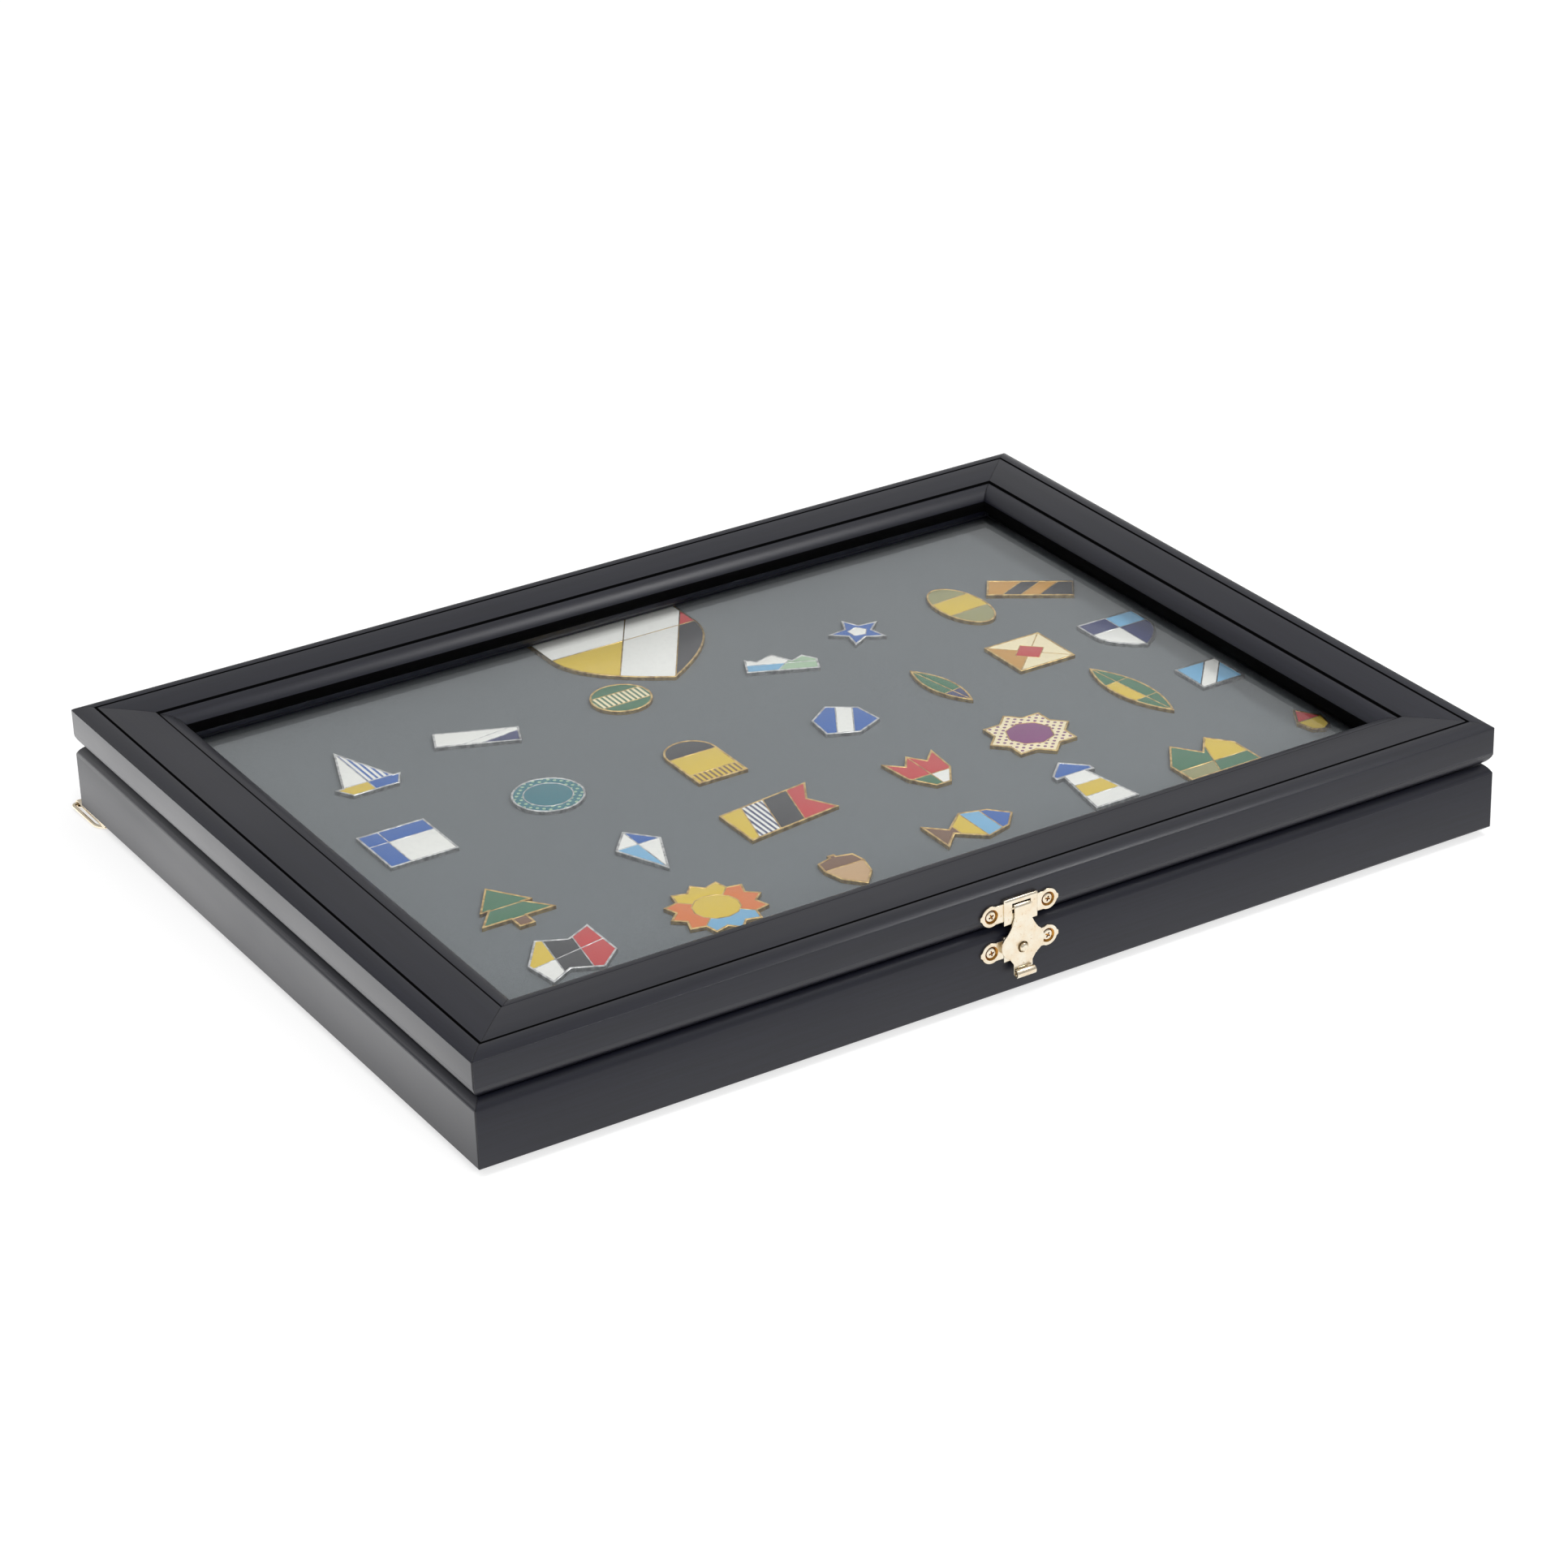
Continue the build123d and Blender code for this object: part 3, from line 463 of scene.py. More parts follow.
@dataclass(frozen=True)
class Brass(Finish):
    """Polished, thinly lacquered brass with fine scratches and a few stains."""

    tone: Tone = Tone.BRIGHT

    @property
    def name(self) -> str:
        """The material's name."""
        return f"brass_{self.tone.name.lower()}"

    def dress(self, graph: Graph) -> Wire:
        """Build the brass's shader."""
        light, warm, stained = self.tone.value
        cloud = graph.noise(260, 3)
        stain = graph.noise(900, 4).rise(0.6, 0.76)
        scratches = graph.noise(900, 3, (1.0, 1.0, 14.0))
        relief = graph.bump(scratches, 0.006 * MM, 0.5)
        clean = graph.mixed(cloud.rise(0.3, 0.7), light, warm)
        return graph.principled({
            "Base Color": graph.mixed(stain * 0.45, clean, stained),
            "Metallic": 1.0,
            "Roughness": 0.16 + cloud * 0.1 + stain * 0.15,
            "Normal": graph.bump(cloud, 0.04 * MM, 0.4, relief),
        })


@dataclass(frozen=True)
class Plating(Finish):
    """Plated pin metal, a little dull in its low places."""

    metal: Metal = Metal.GILT

    @property
    def name(self) -> str:
        """The material's name."""
        return f"plating_{self.metal.name.lower()}"

    def dress(self, graph: Graph) -> Wire:
        """Build the plating's shader."""
        bright, dull = self.metal.value
        cloud = graph.noise(420, 3)
        grit = graph.noise(5000, 2)
        return graph.principled({
            "Base Color": graph.mixed(cloud.rise(0.35, 0.7), bright, dull),
            "Metallic": 1.0,
            "Roughness": 0.26 + cloud * 0.12,
            "Normal": graph.bump(grit, 0.004 * MM, 0.25),
        })


@dataclass(frozen=True)
class Enamel(Finish):
    """Fired enamel under a clear top: one colour, or two in stripes, dots or waves."""

    tint: Tint
    accent: Tint = Tint.WHITE
    pattern: Pattern = Pattern.PLAIN
    sway: ClassVar[float] = 0.28
    sways: ClassVar[float] = 3.2
    dot_edge: ClassVar[tuple[float, float]] = (0.085, 0.06)
    stripe_edge: ClassVar[tuple[float, float]] = (0.25, 0.21)
    shade: ClassVar[Point] = (0.72, 0.72, 0.74)

    @property
    def name(self) -> str:
        """The material's name."""
        words = ["enamel", self.tint.name.lower()]
        if self.pattern is not Pattern.PLAIN:
            words += [self.accent.name.lower(), self.pattern.name.lower()]
        return "_".join(words)

    def mask(self, graph: Graph) -> Wire:
        """The share of the accent colour.

        Args:
            graph: The material's nodes.

        Returns:
            A mask of the stripes, dots or waves.
        """
        pitch, turn = self.pattern.value
        ahead, aside = cos(radians(turn)), sin(radians(turn))
        x, y, _ = graph.axes()
        across = (x * ahead + y * aside) / pitch
        along = (y * ahead - x * aside) / pitch
        if self.pattern is Pattern.WAVES:
            across = across + (along * self.sways).wave() * self.sway
        from_stripe = (across.part() - 0.5).size()
        if self.pattern is Pattern.DOTS:
            from_row = (along.part() - 0.5).size()
            return (from_stripe**2 + from_row**2).rise(*self.dot_edge)
        return from_stripe.rise(*self.stripe_edge)

    def dress(self, graph: Graph) -> Wire:
        """Build the enamel's shader."""
        tint = self.tint.value
        depth = graph.noise(700, 3)
        specks = graph.noise(4200, 2).rise(0.66, 0.74)
        colour = tint
        if self.pattern is not Pattern.PLAIN:
            colour = graph.mixed(self.mask(graph), tint, self.accent.value)
        deep = (*(part * share for part, share in zip(tint, self.shade)), 1.0)
        shaded = graph.mixed(depth.rise(0.4, 0.8) * 0.22, colour, deep)
        speckled = graph.mixed(specks * 0.2, shaded, deep)
        return graph.principled({
            "Base Color": speckled,
            "Roughness": 0.28 + depth * 0.14,
            "Specular IOR Level": 0.25,
            "Normal": graph.bump(depth, 0.015 * MM, 0.25),
            "Coat Weight": 0.12,
            "Coat Roughness": 0.06,
        })


@dataclass(frozen=True)
class Felt(Finish):
    """Grey wool felt: matted fibres over a slightly cloudy tone."""

    def dress(self, graph: Graph) -> Wire:
        """Build the felt's shader."""
        fibres = graph.noise(2400, 6)
        clumps = graph.noise(520, 4)
        cloud = graph.noise(11, 2)
        lint = graph.noise(1500, 8).rise(0.68, 0.76)
        tone = graph.mixed(fibres.rise(0.3, 0.7), paint(92, 97, 100), paint(112, 117, 121))
        clumped = graph.mixed(clumps.rise(0.35, 0.7) * 0.3, tone, paint(88, 93, 96))
        soft = graph.mixed(cloud.rise(0.3, 0.8) * 0.2, clumped, paint(110, 114, 115))
        return graph.principled({
            "Base Color": graph.mixed(lint * 0.3, soft, paint(138, 142, 144)),
            "Roughness": 0.92 + fibres * 0.08,
            "Specular IOR Level": 0.2,
            "Sheen Weight": 0.05,
            "Sheen Roughness": 0.5,
            "Normal": graph.bump(fibres * 0.7 + clumps * 0.15, 0.1 * MM, 0.5),
        })


@dataclass(frozen=True)
class Glass(Finish):
    """A clear anti-glare pane that lets lamplight through, with a faint haze of dust."""

    def dress(self, graph: Graph) -> Wire:
        """Build the glass's shader."""
        haze = graph.noise(30, 4).rise(0.45, 0.8)
        pane = graph.principled({
            "Base Color": graph.mixed(haze * 0.5, (0.985, 0.99, 0.99, 1.0), (0.965, 0.975, 0.975, 1.0)),
            "Roughness": 0.0,
            "IOR": 1.25,
            "Transmission Weight": 1.0,
        })
        lamp_ray = graph.ray("Shadow").larger(graph.ray("Diffuse"))
        open_way = graph.node("ShaderNodeBsdfTransparent", inputs={"Color": (0.93, 0.94, 0.94, 1.0)})
        return graph.node("ShaderNodeMixShader", inputs={0: lamp_ray, 1: pane, 2: open_way})


@dataclass(frozen=True)
class Hardboard(Finish):
    """Brown pressed fibreboard with matted dark fibres."""

    def dress(self, graph: Graph) -> Wire:
        """Build the hardboard's shader."""
        fibres = graph.noise(420, 8, (1.0, 2.4, 1.0))
        flecks = graph.noise(1600, 5, (1.0, 3.5, 1.0)).rise(0.58, 0.68)
        cloud = graph.noise(9, 3)
        tone = graph.mixed(fibres.rise(0.3, 0.7), paint(92, 66, 45), paint(124, 92, 64))
        cloudy = graph.mixed(cloud.rise(0.3, 0.7) * 0.35, tone, paint(104, 78, 56))
        return graph.principled({
            "Base Color": graph.mixed(flecks * 0.6, cloudy, paint(58, 40, 28)),
            "Roughness": 0.5 + fibres * 0.25,
            "Normal": graph.bump(fibres, 0.08 * MM, 0.6),
        })


@dataclass(frozen=True)
class Foam(Finish):
    """Dark open-celled foam."""

    def dress(self, graph: Graph) -> Wire:
        """Build the foam's shader."""
        inputs = {"Vector": graph.place(), "Scale": 1400.0}
        cells = graph.node("ShaderNodeTexVoronoi", {"feature": "F1"}, inputs)
        return graph.principled({
            "Base Color": graph.mixed(cells.rise(0.1, 0.6), paint(34, 34, 36), paint(78, 78, 80)),
            "Roughness": 0.85 + cells * 0.15,
            "Normal": graph.bump(cells, 0.3 * MM, 0.8),
        })


@dataclass(frozen=True)
class Rubber(Finish):
    """Matt black rubber, dusty where it meets the table."""

    def dress(self, graph: Graph) -> Wire:
        """Build the rubber's shader."""
        _, _, z = graph.axes()
        grit = graph.noise(3000, 3)
        dust = z.rise(0.8 * MM, 0.0) * grit.rise(0.35, 0.7)
        return graph.principled({
            "Base Color": graph.mixed(dust * 0.6, paint(32, 32, 33), paint(96, 94, 90)),
            "Roughness": 0.62 + grit * 0.2,
            "Normal": graph.bump(grit, 0.03 * MM, 0.5),
        })


# ---------------------------------------------------------------- the workbench
class Bench:
    """Modelling steps on one piece at a time."""

    @staticmethod
    def clear() -> None:
        """Deselect everything."""
        for piece in bpy.context.scene.objects:
            piece.select_set(False)

    @staticmethod
    def hold(piece: Piece) -> None:
        """Select one piece alone and make it active.

        Args:
            piece: The piece to work on.
        """
        Bench.clear()
        piece.select_set(True)
        bpy.context.view_layer.objects.active = piece

    @staticmethod
    def start(name: str, shape: str, **sizes: object) -> Piece:
        """Add a mesh primitive at its size and place.

        Args:
            name: The piece's name.
            shape: The primitive's kind, as bpy.ops.mesh names it.
            sizes: The primitive's own settings.

        Returns:
            The piece.
        """
        Bench.clear()
        getattr(bpy.ops.mesh, f"primitive_{shape}_add")(**sizes)
        piece = bpy.context.object
        piece.name = name
        bpy.ops.object.transform_apply(location=True, rotation=True, scale=True)
        return piece

    @staticmethod
    @contextmanager
    def editing(piece: Piece, test: FaceTest | None = None) -> Iterator[None]:
        """Work in edit mode on the faces that pass a test.

        Args:
            piece: The piece to edit.
            test: Tells whether a face is wanted. Without it every face is.

        Yields:
            Nothing; edit mode is left afterwards.
        """
        Bench.hold(piece)
        mesh = piece.data
        for group in (mesh.vertices, mesh.edges, mesh.polygons):
            group.foreach_set("select", [False] * len(group))
        for face in mesh.polygons:
            face.select = test is None or test(face)
        bpy.ops.object.mode_set(mode="EDIT")
        bpy.ops.mesh.select_mode(type="FACE")
        try:
            yield
        finally:
            bpy.ops.object.mode_set(mode="OBJECT")

    @staticmethod
    def shift(x: float = 0.0, y: float = 0.0, z: float = 0.0) -> None:
        """Move what is selected in edit mode."""
        bpy.ops.transform.translate(value=(x, y, z))

    @staticmethod
    def pull(x: float = 0.0, y: float = 0.0, z: float = 0.0) -> None:
        """Extrude what is selected in edit mode."""
        bpy.ops.mesh.extrude_region_move(TRANSFORM_OT_translate={"value": (x, y, z)})

    @staticmethod
    def modify(piece: Piece, kind: str, **settings: object) -> None:
        """Add a modifier and apply it.

        Args:
            piece: The piece.
            kind: The modifier's type.
            settings: The modifier's own settings.
        """
        Bench.hold(piece)
        modifier = piece.modifiers.new(kind.lower(), kind)
        for name, value in settings.items():
            setattr(modifier, name, value)
        bpy.ops.object.modifier_apply(modifier=modifier.name)

    @staticmethod
    def ease(piece: Piece, width: float, segments: int) -> None:
        """Round the sharp edges of a piece.

        Args:
            piece: The piece.
            width: Width of the rounding.
            segments: Faces across it.
        """
        settings = {"width": width, "segments": segments, "limit_method": "ANGLE", "angle_limit": SHARP}
        Bench.modify(piece, "BEVEL", use_clamp_overlap=False, **settings)

    @staticmethod
    def tidy(piece: Piece) -> None:
        """Merge a piece's double points and turn its faces outwards.

        Args:
            piece: The piece.
        """
        with Bench.editing(piece):
            bpy.ops.mesh.remove_doubles(threshold=MERGE)
            bpy.ops.mesh.normals_make_consistent(inside=False)

    @staticmethod
    def cast(node: str, name: str, width: float, segments: int = 2) -> Piece:
        """Copy a CAD node, merge its points and soften its edges.

        Args:
            node: The CAD node.
            name: The copy's name.
            width: Width of the softened edges.
            segments: Faces across them.

        Returns:
            The copy.
        """
        copy = bpy.data.objects.new(name, frame["nodes"][node].data.copy())
        bpy.context.scene.collection.objects.link(copy)
        with Bench.editing(copy):
            bpy.ops.mesh.remove_doubles(threshold=MERGE)
            bpy.ops.mesh.dissolve_limited(angle_limit=SAME_PLANE)
        Bench.ease(copy, width, segments)
        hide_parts(node)
        return copy

    @staticmethod
    def copy(piece: Piece, name: str, place: Matrix) -> Piece:
        """Copy a piece to another place, with its own mesh.

        Args:
            piece: The piece to copy.
            name: The copy's name.
            place: Where it goes.

        Returns:
            The copy.
        """
        made = bpy.data.objects.new(name, piece.data.copy())
        made.data.transform(place)
        bpy.context.scene.collection.objects.link(made)
        return made

    @staticmethod
    def join(pieces: list[Piece], name: str) -> Piece:
        """Join pieces into one.

        Args:
            pieces: The pieces; the first one stays.
            name: Its new name.

        Returns:
            The joined piece.
        """
        Bench.hold(pieces[0])
        for piece in pieces:
            piece.select_set(True)
        bpy.ops.object.join()
        pieces[0].name = name
        return pieces[0]

    @staticmethod
    def settle(piece: Piece, body: str, slot: str, *finishes: Finish, angle: float = 30.0) -> None:
        """Shade a finished piece, give it its finish and let it ride on its body.

        Args:
            piece: The piece.
            body: The CAD body that it moves with.
            slot: The record's material slot, or nothing.
            finishes: Its finishes, one for each material slot, unless it has them.
            angle: Edges that turn more than this stay sharp, in degrees.
        """
        Bench.hold(piece)
        bpy.ops.object.shade_smooth_by_angle(angle=radians(angle))
        if finishes:
            Bench.paint(piece, *finishes)
        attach(piece, body)
        log.info("%s: %d faces on %s", piece.name, len(piece.data.polygons), body)

    @staticmethod
    def tone(piece: Piece, finish: Finish, test: FaceTest) -> None:
        """Give another finish to the faces that pass a test.

        Args:
            piece: The finished piece.
            finish: The other finish.
            test: Tells whether a face takes it.
        """
        piece.data.materials.append(finish.material())
        for face in piece.data.polygons:
            if test(face):
                face.material_index = len(piece.data.materials) - 1

    @staticmethod
    def paint(piece: Piece, *finishes: Finish) -> None:
        """Fill a piece's material slots.

        Args:
            piece: The piece.
            finishes: A finish for each slot.
        """
        piece.data.materials.clear()
        for finish in finishes:
            piece.data.materials.append(finish.material())


def turned_to(axis: Vector, place: Vector, roll: float) -> Matrix:
    """Place a thing that was made upright at the origin.

    Args:
        axis: Where its top shall point.
        place: Where its origin goes.
        roll: Turn about its own axis, in degrees.

    Returns:
        The matrix that puts it there.
    """
    turn = axis.to_track_quat("Z", "Y").to_matrix().to_4x4()
    return Matrix.Translation(place) @ turn @ Matrix.Rotation(radians(roll), 4, "Z")


# ---------------------------------------------------------------- studio
@dataclass
class Softbox:
    """A rectangular lamp.

    Gloss shows it only if it is mirrored. Rays that come out of the glass show it all the same, so
    that the key lamp is a white sheet in the pane from some places behind the case.
    """

    name: str
    place: Point
    aim: Point
    size: tuple[float, float]
    power: float
    mirrored: bool = False

    def build(self) -> None:
        """Hang the lamp at its place and turn it to its aim."""
        Bench.clear()
        bpy.ops.object.light_add(type="AREA", location=self.place)
        lamp = bpy.context.object
        lamp.name = self.name
        lamp.rotation_euler = (Vector(self.aim) - Vector(self.place)).to_track_quat("-Z", "Y").to_euler()
        lamp.data.shape = "RECTANGLE"
        lamp.data.size, lamp.data.size_y = self.size
        lamp.data.energy = self.power
        lamp.visible_glossy = self.mirrored


@dataclass
class Studio:
    """Pale floor, soft lamps and the camera of the photograph."""

    floor_size: float = 24.0
    floor_level: float = 0.66
    floor_lift: float = 0.25
    far_edge: tuple[float, float] = (0.3, 2.5)
    glow_x: tuple[float, float] = (-0.192, -0.222)  # where the glow beside the case begins and is full
    glow_y: tuple[float, float] = (-0.3, 0.1)
    side_glow: float = 1.68
    lens: float = 104.764
    sensor: float = 36.0
    eye: Point = (-0.73228, -1.23028, 0.74279)
    right: Point = (0.849973, -0.525995, -0.029576)
    up: Point = (0.260773, 0.371283, 0.891149)
    ahead: Point = (0.457759, 0.765165, -0.452746)
    sky_level: float = 0.42
    horizon_level: float = 0.5
    zenith_level: float = 0.65
    dome_edge: tuple[float, float] = (0.2, 0.8)

    def build(self) -> None:
        """Set up the floor, the sky, the lamps and the camera."""
        bpy.context.scene.view_settings.view_transform = "Standard"
        self.lay_floor()
        self.hang_sky()
        board = (0.0, 0.05, 0.025)
        rail = (0.05, -0.15, 0.04)
        Softbox("key_softbox", (-0.25, -1.75, 1.05), board, size=(1.0, 0.8), power=18.0).build()
        Softbox("bead_softbox", (0.55, -0.25, 1.04), rail, size=(0.45, 0.3), power=4.6, mirrored=True).build()
        Softbox("top_softbox", (-0.85, -0.5, 1.55), board, size=(1.2, 1.2), power=11.8).build()
        self.place_camera()

    def lay_floor(self) -> None:
        """Lay a floor that looks white and keeps the shadow, with a glow beside the case for gloss alone."""
        floor = Bench.start("floor", "plane", size=self.floor_size)
        material = bpy.data.materials.new("studio_floor")
        graph = Graph(material)
        camera, glossy, through = self.rays(graph)
        x, y, _ = graph.axes()
        beside = x.rise(*self.glow_x) * y.rise(*self.glow_y)
        far = (x**2 + y**2).rise(*self.far_edge)
        glow = self.floor_level + far * self.floor_lift + glossy * beside * self.side_glow
        bounce = graph.node("ShaderNodeBsdfDiffuse", inputs={"Color": (0.72, 0.72, 0.72, 1.0)})
        shadow = graph.node("ShaderNodeBsdfDiffuse", inputs={"Color": (0.45, 0.45, 0.45, 1.0)})
        light = graph.node("ShaderNodeEmission", inputs={"Color": graph.level(glow), "Strength": 1.0})
        seen = graph.node("ShaderNodeAddShader", inputs={0: shadow, 1: light})
        looked_at = camera.larger(glossy.larger(through))
        surface = graph.node("ShaderNodeMixShader", inputs={0: looked_at, 1: bounce, 2: seen})
        graph.feed(graph.output.inputs["Surface"], surface)
        floor.data.materials.append(material)

    def rays(self, graph: Graph) -> tuple[Wire, Wire, Wire]:
        """Mask the rays that show a surface to the camera and light none on their way.

        Args:
            graph: The nodes of the floor or the sky.

        Returns:
            The masks of rays straight from the camera, from gloss and through glass.
        """
        straight = 1 - graph.node("ShaderNodeLightPath", output="Diffuse Depth").rise(0.0, 1.0)
        return tuple(graph.ray(kind) * straight for kind in ("Camera", "Glossy", "Transmission"))

    def hang_sky(self) -> None:
        """Give the world a soft level, white for the camera and darker overhead for gloss."""
        world = bpy.data.worlds.new("studio_sky")
        bpy.context.scene.world = world
        graph = Graph(world)
        camera, glossy, through = self.rays(graph)
        way = graph.node("ShaderNodeTexCoord", output="Generated")
        height = graph.node("ShaderNodeSeparateXYZ", inputs={0: way}, output=2)
        dome = self.horizon_level + height.rise(*self.dome_edge) * (self.zenith_level - self.horizon_level)
        plain = camera.larger(through)
        looked_at = plain.larger(glossy)
        level = plain + (1 - plain) * glossy * dome + (1 - looked_at) * self.sky_level
        sky = graph.node("ShaderNodeBackground", inputs={"Color": graph.level(level), "Strength": 1.0})
        graph.feed(graph.output.inputs["Surface"], sky)

    def place_camera(self) -> None:
        """Stand the camera where the photograph was taken."""
        Bench.clear()
        bpy.ops.object.camera_add()
        camera = bpy.context.object
        camera.name = "photo_camera"
        camera.data.lens = self.lens
        camera.data.sensor_width = self.sensor
        columns = zip(self.right, self.up, (-part for part in self.ahead), self.eye)
        camera.matrix_world = Matrix([*columns, (0.0, 0.0, 0.0, 1.0)])
        bpy.context.scene.camera = camera


# ---------------------------------------------------------------- woodwork, board and glass
@dataclass
class Woodwork:
    """Box walls, lid rails, glazing strips and bottom of the case."""

    edge: float = 0.09 * MM

    def build(self) -> None:
        """Dress every wooden piece."""
        for side in ("front", "back", "left", "right"):
            grain = Grain.ALONG_X if side in ("front", "back") else Grain.ALONG_Y
            wall = Bench.cast(f"box_wall_{side}", f"wall_{side}", self.edge)
            Bench.settle(wall, "case", "black_lacquered_wood", Lacquer(grain))
            rail = Bench.cast(f"lid_rail_{side}", f"rail_{side}", self.edge)
            Bench.settle(rail, "lid", "black_lacquered_wood", Lacquer(grain))
        strips = Bench.cast("glazing_strips", "glass_strips", self.edge)
        Bench.settle(strips, "lid", "black_lacquered_wood", Lacquer())
        Bench.paint(frame["nodes"]["bottom_panel"], Hardboard())
        Bench.paint(frame["nodes"]["foam_pad"], Foam())


@dataclass
class Board:
    """The felt that is stretched over the foam."""

    length: float = 379 * MM
    width: float = 279 * MM
    top: float = 25 * MM
    skirt: float = 12 * MM
    thickness: float = 1 * MM
    rounding: float = 1.3 * MM

    def build(self) -> None:
        """Fold the felt over the foam's edges."""
        middle = (0.0, 0.0, self.top - self.skirt / 2)
        scale = (self.length, self.width, self.skirt)
        felt = Bench.start("felt_board", "cube", size=1, location=middle, scale=scale)
        with Bench.editing(felt, faces_down):
            bpy.ops.mesh.delete(type="FACE")
        with Bench.editing(felt):
            bpy.ops.mesh.bevel(offset=self.rounding, segments=4, affect="EDGES")
        Bench.modify(felt, "SOLIDIFY", thickness=self.thickness, offset=-1.0, use_even_offset=True)
        Bench.settle(felt, "case", "grey_felt", Felt(), angle=40)
        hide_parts("felt_cover")
        turned = self.skirt - self.thickness / 2
        flat = (self.length - self.thickness + 2 * turned, self.width - self.thickness + 2 * turned)
        area = flat[0] * flat[1] - 4 * turned**2


@dataclass
class Glazing:
    """The pane in the lid."""

    edge: float = 0.25 * MM

    def build(self) -> None:
        """Seam the pane's edges and make it clear."""
        pane = Bench.cast("glass_pane", "pane", self.edge, 1)
        Bench.settle(pane, "lid", "clear_glass", Glass())


# ---------------------------------------------------------------- screws
@dataclass
class CrossScrew:
    """A cross-head screw, upright with the underside of its head at the origin."""

    head_r: float
    head_t: float
    dome: float
    shank_r: float = 1.0 * MM
    length: float = 8.4 * MM
    slot: float = 0.2
    reach: float = 0.7
    depth: float = 0.42 * MM
    # inset and rise of each ring of the dome, as shares of the head's radius and of the dome
    rings: ClassVar[tuple[tuple[float, float], ...]] = ((0.08, 0.45), (0.14, 0.3), (0.24, 0.2), (0.22, 0.05))
    tip_length: ClassVar[float] = 0.7
    tip_width: ClassVar[float] = 0.25
    slot_floor: ClassVar[float] = 0.6

    def build(self) -> Piece:
        """Turn the head, sink the cross into it and draw out the shank.

        Returns:
            The screw, still riding on nothing.
        """
        wall = self.head_t - self.dome
        sizes = {"vertices": 32, "radius": self.head_r, "depth": wall}
        screw = Bench.start("screw", "cylinder", location=(0, 0, wall / 2), **sizes)
        with Bench.editing(screw, faces_up):
            for inset, rise in self.rings:
                bpy.ops.mesh.inset(thickness=inset * self.head_r)
                Bench.shift(z=rise * self.dome)
        with Bench.editing(screw, faces_down):
            bpy.ops.mesh.inset(thickness=self.head_r - self.shank_r)
            Bench.pull(z=-self.length)
            Bench.pull(z=-self.tip_length * self.shank_r)
            bpy.ops.transform.resize(value=(self.tip_width, self.tip_width, 1.0))
        # The second slot holds the darker brass, painted shade for the walls of the cross slots.
        Bench.paint(screw, Brass(), Brass(Tone.DEEP))
        for turn in (0, 90):
            self.sink(screw, turn)
        return screw

    def sink(self, screw: Piece, turn: float) -> None:
        """Cut one arm of the cross.

        Args:
            screw: The screw.
            turn: Direction of the arm, in degrees.
        """
        tall = 2 * self.depth
        cutter = Bench.start(
            "cutter",
            "cube",
            size=1,
            location=(0, 0, self.head_t),
            rotation=(0, 0, radians(turn)),
            scale=(2 * self.reach * self.head_r, 2 * self.slot * self.head_r, tall),
        )
        with Bench.editing(cutter, faces_down):
            bpy.ops.transform.resize(value=(self.slot_floor, self.slot_floor, 1.0))
        # The cutter leaves its darker brass, painted shade, on the walls of the cross slot.
        Bench.paint(cutter, Brass(Tone.DEEP))
        Bench.modify(screw, "BOOLEAN", operation="DIFFERENCE", solver="EXACT", object=cutter)
        bpy.data.objects.remove(cutter)

    def drive(self, node: str, name: str, body: str, axis: Vector, heads: list[tuple[Vector, float]]) -> None:
        """Put screws in their holes in the place of a CAD node.

        Args:
            node: The CAD node that they stand for.
            name: The piece's name.
            body: The CAD body that they move with.
            axis: Where their heads point.
            heads: Place of each head's underside, and its roll in degrees.
        """
        screw = self.build()
        driven = []
        for index, head in enumerate(heads):
            driven.append(Bench.copy(screw, f"{name}_{index}", turned_to(axis, *head)))
        bpy.data.objects.remove(screw)
        group = Bench.join(driven, name)
        Bench.settle(group, body, "polished_brass")
        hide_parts(node)


# ---------------------------------------------------------------- hardware
@dataclass
class Latch:
    """Lid plate, catch plate and swinging tongue, with their four screws."""

    x: float = 1.2 * MM
    screw_x: float = 11.1 * MM
    lid_z: float = 33.2 * MM
    case_z: float = 19.7 * MM
    face_y: float = -HALF_WIDTH
    seat_out: float = 0.25 * MM
    seat_r: float = 2.6 * MM
    seat_slope: float = 0.96
    lid_rolls: tuple[float, float] = (24.0, 71.0)
    case_rolls: tuple[float, float] = (12.0, 58.0)
    edge: float = 0.14 * MM

    def build(self) -> None:
        """Dress the plates and the tongue, and drive the screws."""
        rows = (
            ("latch_plate", "lid_latch", "lid"),
            ("catch_plate", "case_catch", "case"),
            ("latch_tongue", "tongue_tab", "tongue"),
        )
        for node, name, body in rows:
            piece = Bench.cast(node, name, self.edge, 3)
            Bench.settle(piece, body, "polished_brass", Brass(), angle=50)
            # The dished screw seats take the darker brass as painted shade.
            Bench.tone(piece, Brass(Tone.DEEP), self.in_seat)
        screw = CrossScrew(head_r=1.8 * MM, head_t=0.45 * MM, dome=0.26 * MM)
        front = Vector((0.0, -1.0, 0.0))
        xs = (self.x - self.screw_x, self.x + self.screw_x)
        y = self.face_y - self.seat_out
        for body, z, rolls in (("lid", self.lid_z, self.lid_rolls), ("case", self.case_z, self.case_rolls)):
            heads = [(Vector((x, y, z)), roll) for x, roll in zip(xs, rolls)]
            screw.drive(f"latch_screws_{body}", f"latch_cross_screws_{body}", body, front, heads)

    def in_seat(self, face: Face) -> bool:
        """Tell whether a face lies in one of the dished screw seats.

        Args:
            face: A face of a plate.

        Returns:
            True in a dish and in its hole.
        """
        z = self.lid_z if face.center.z > (self.lid_z + self.case_z) / 2 else self.case_z
        off = Vector((abs(face.center.x - self.x) - self.screw_x, face.center.z - z))
        return off.length < self.seat_r and abs(face.normal.y) < self.seat_slope


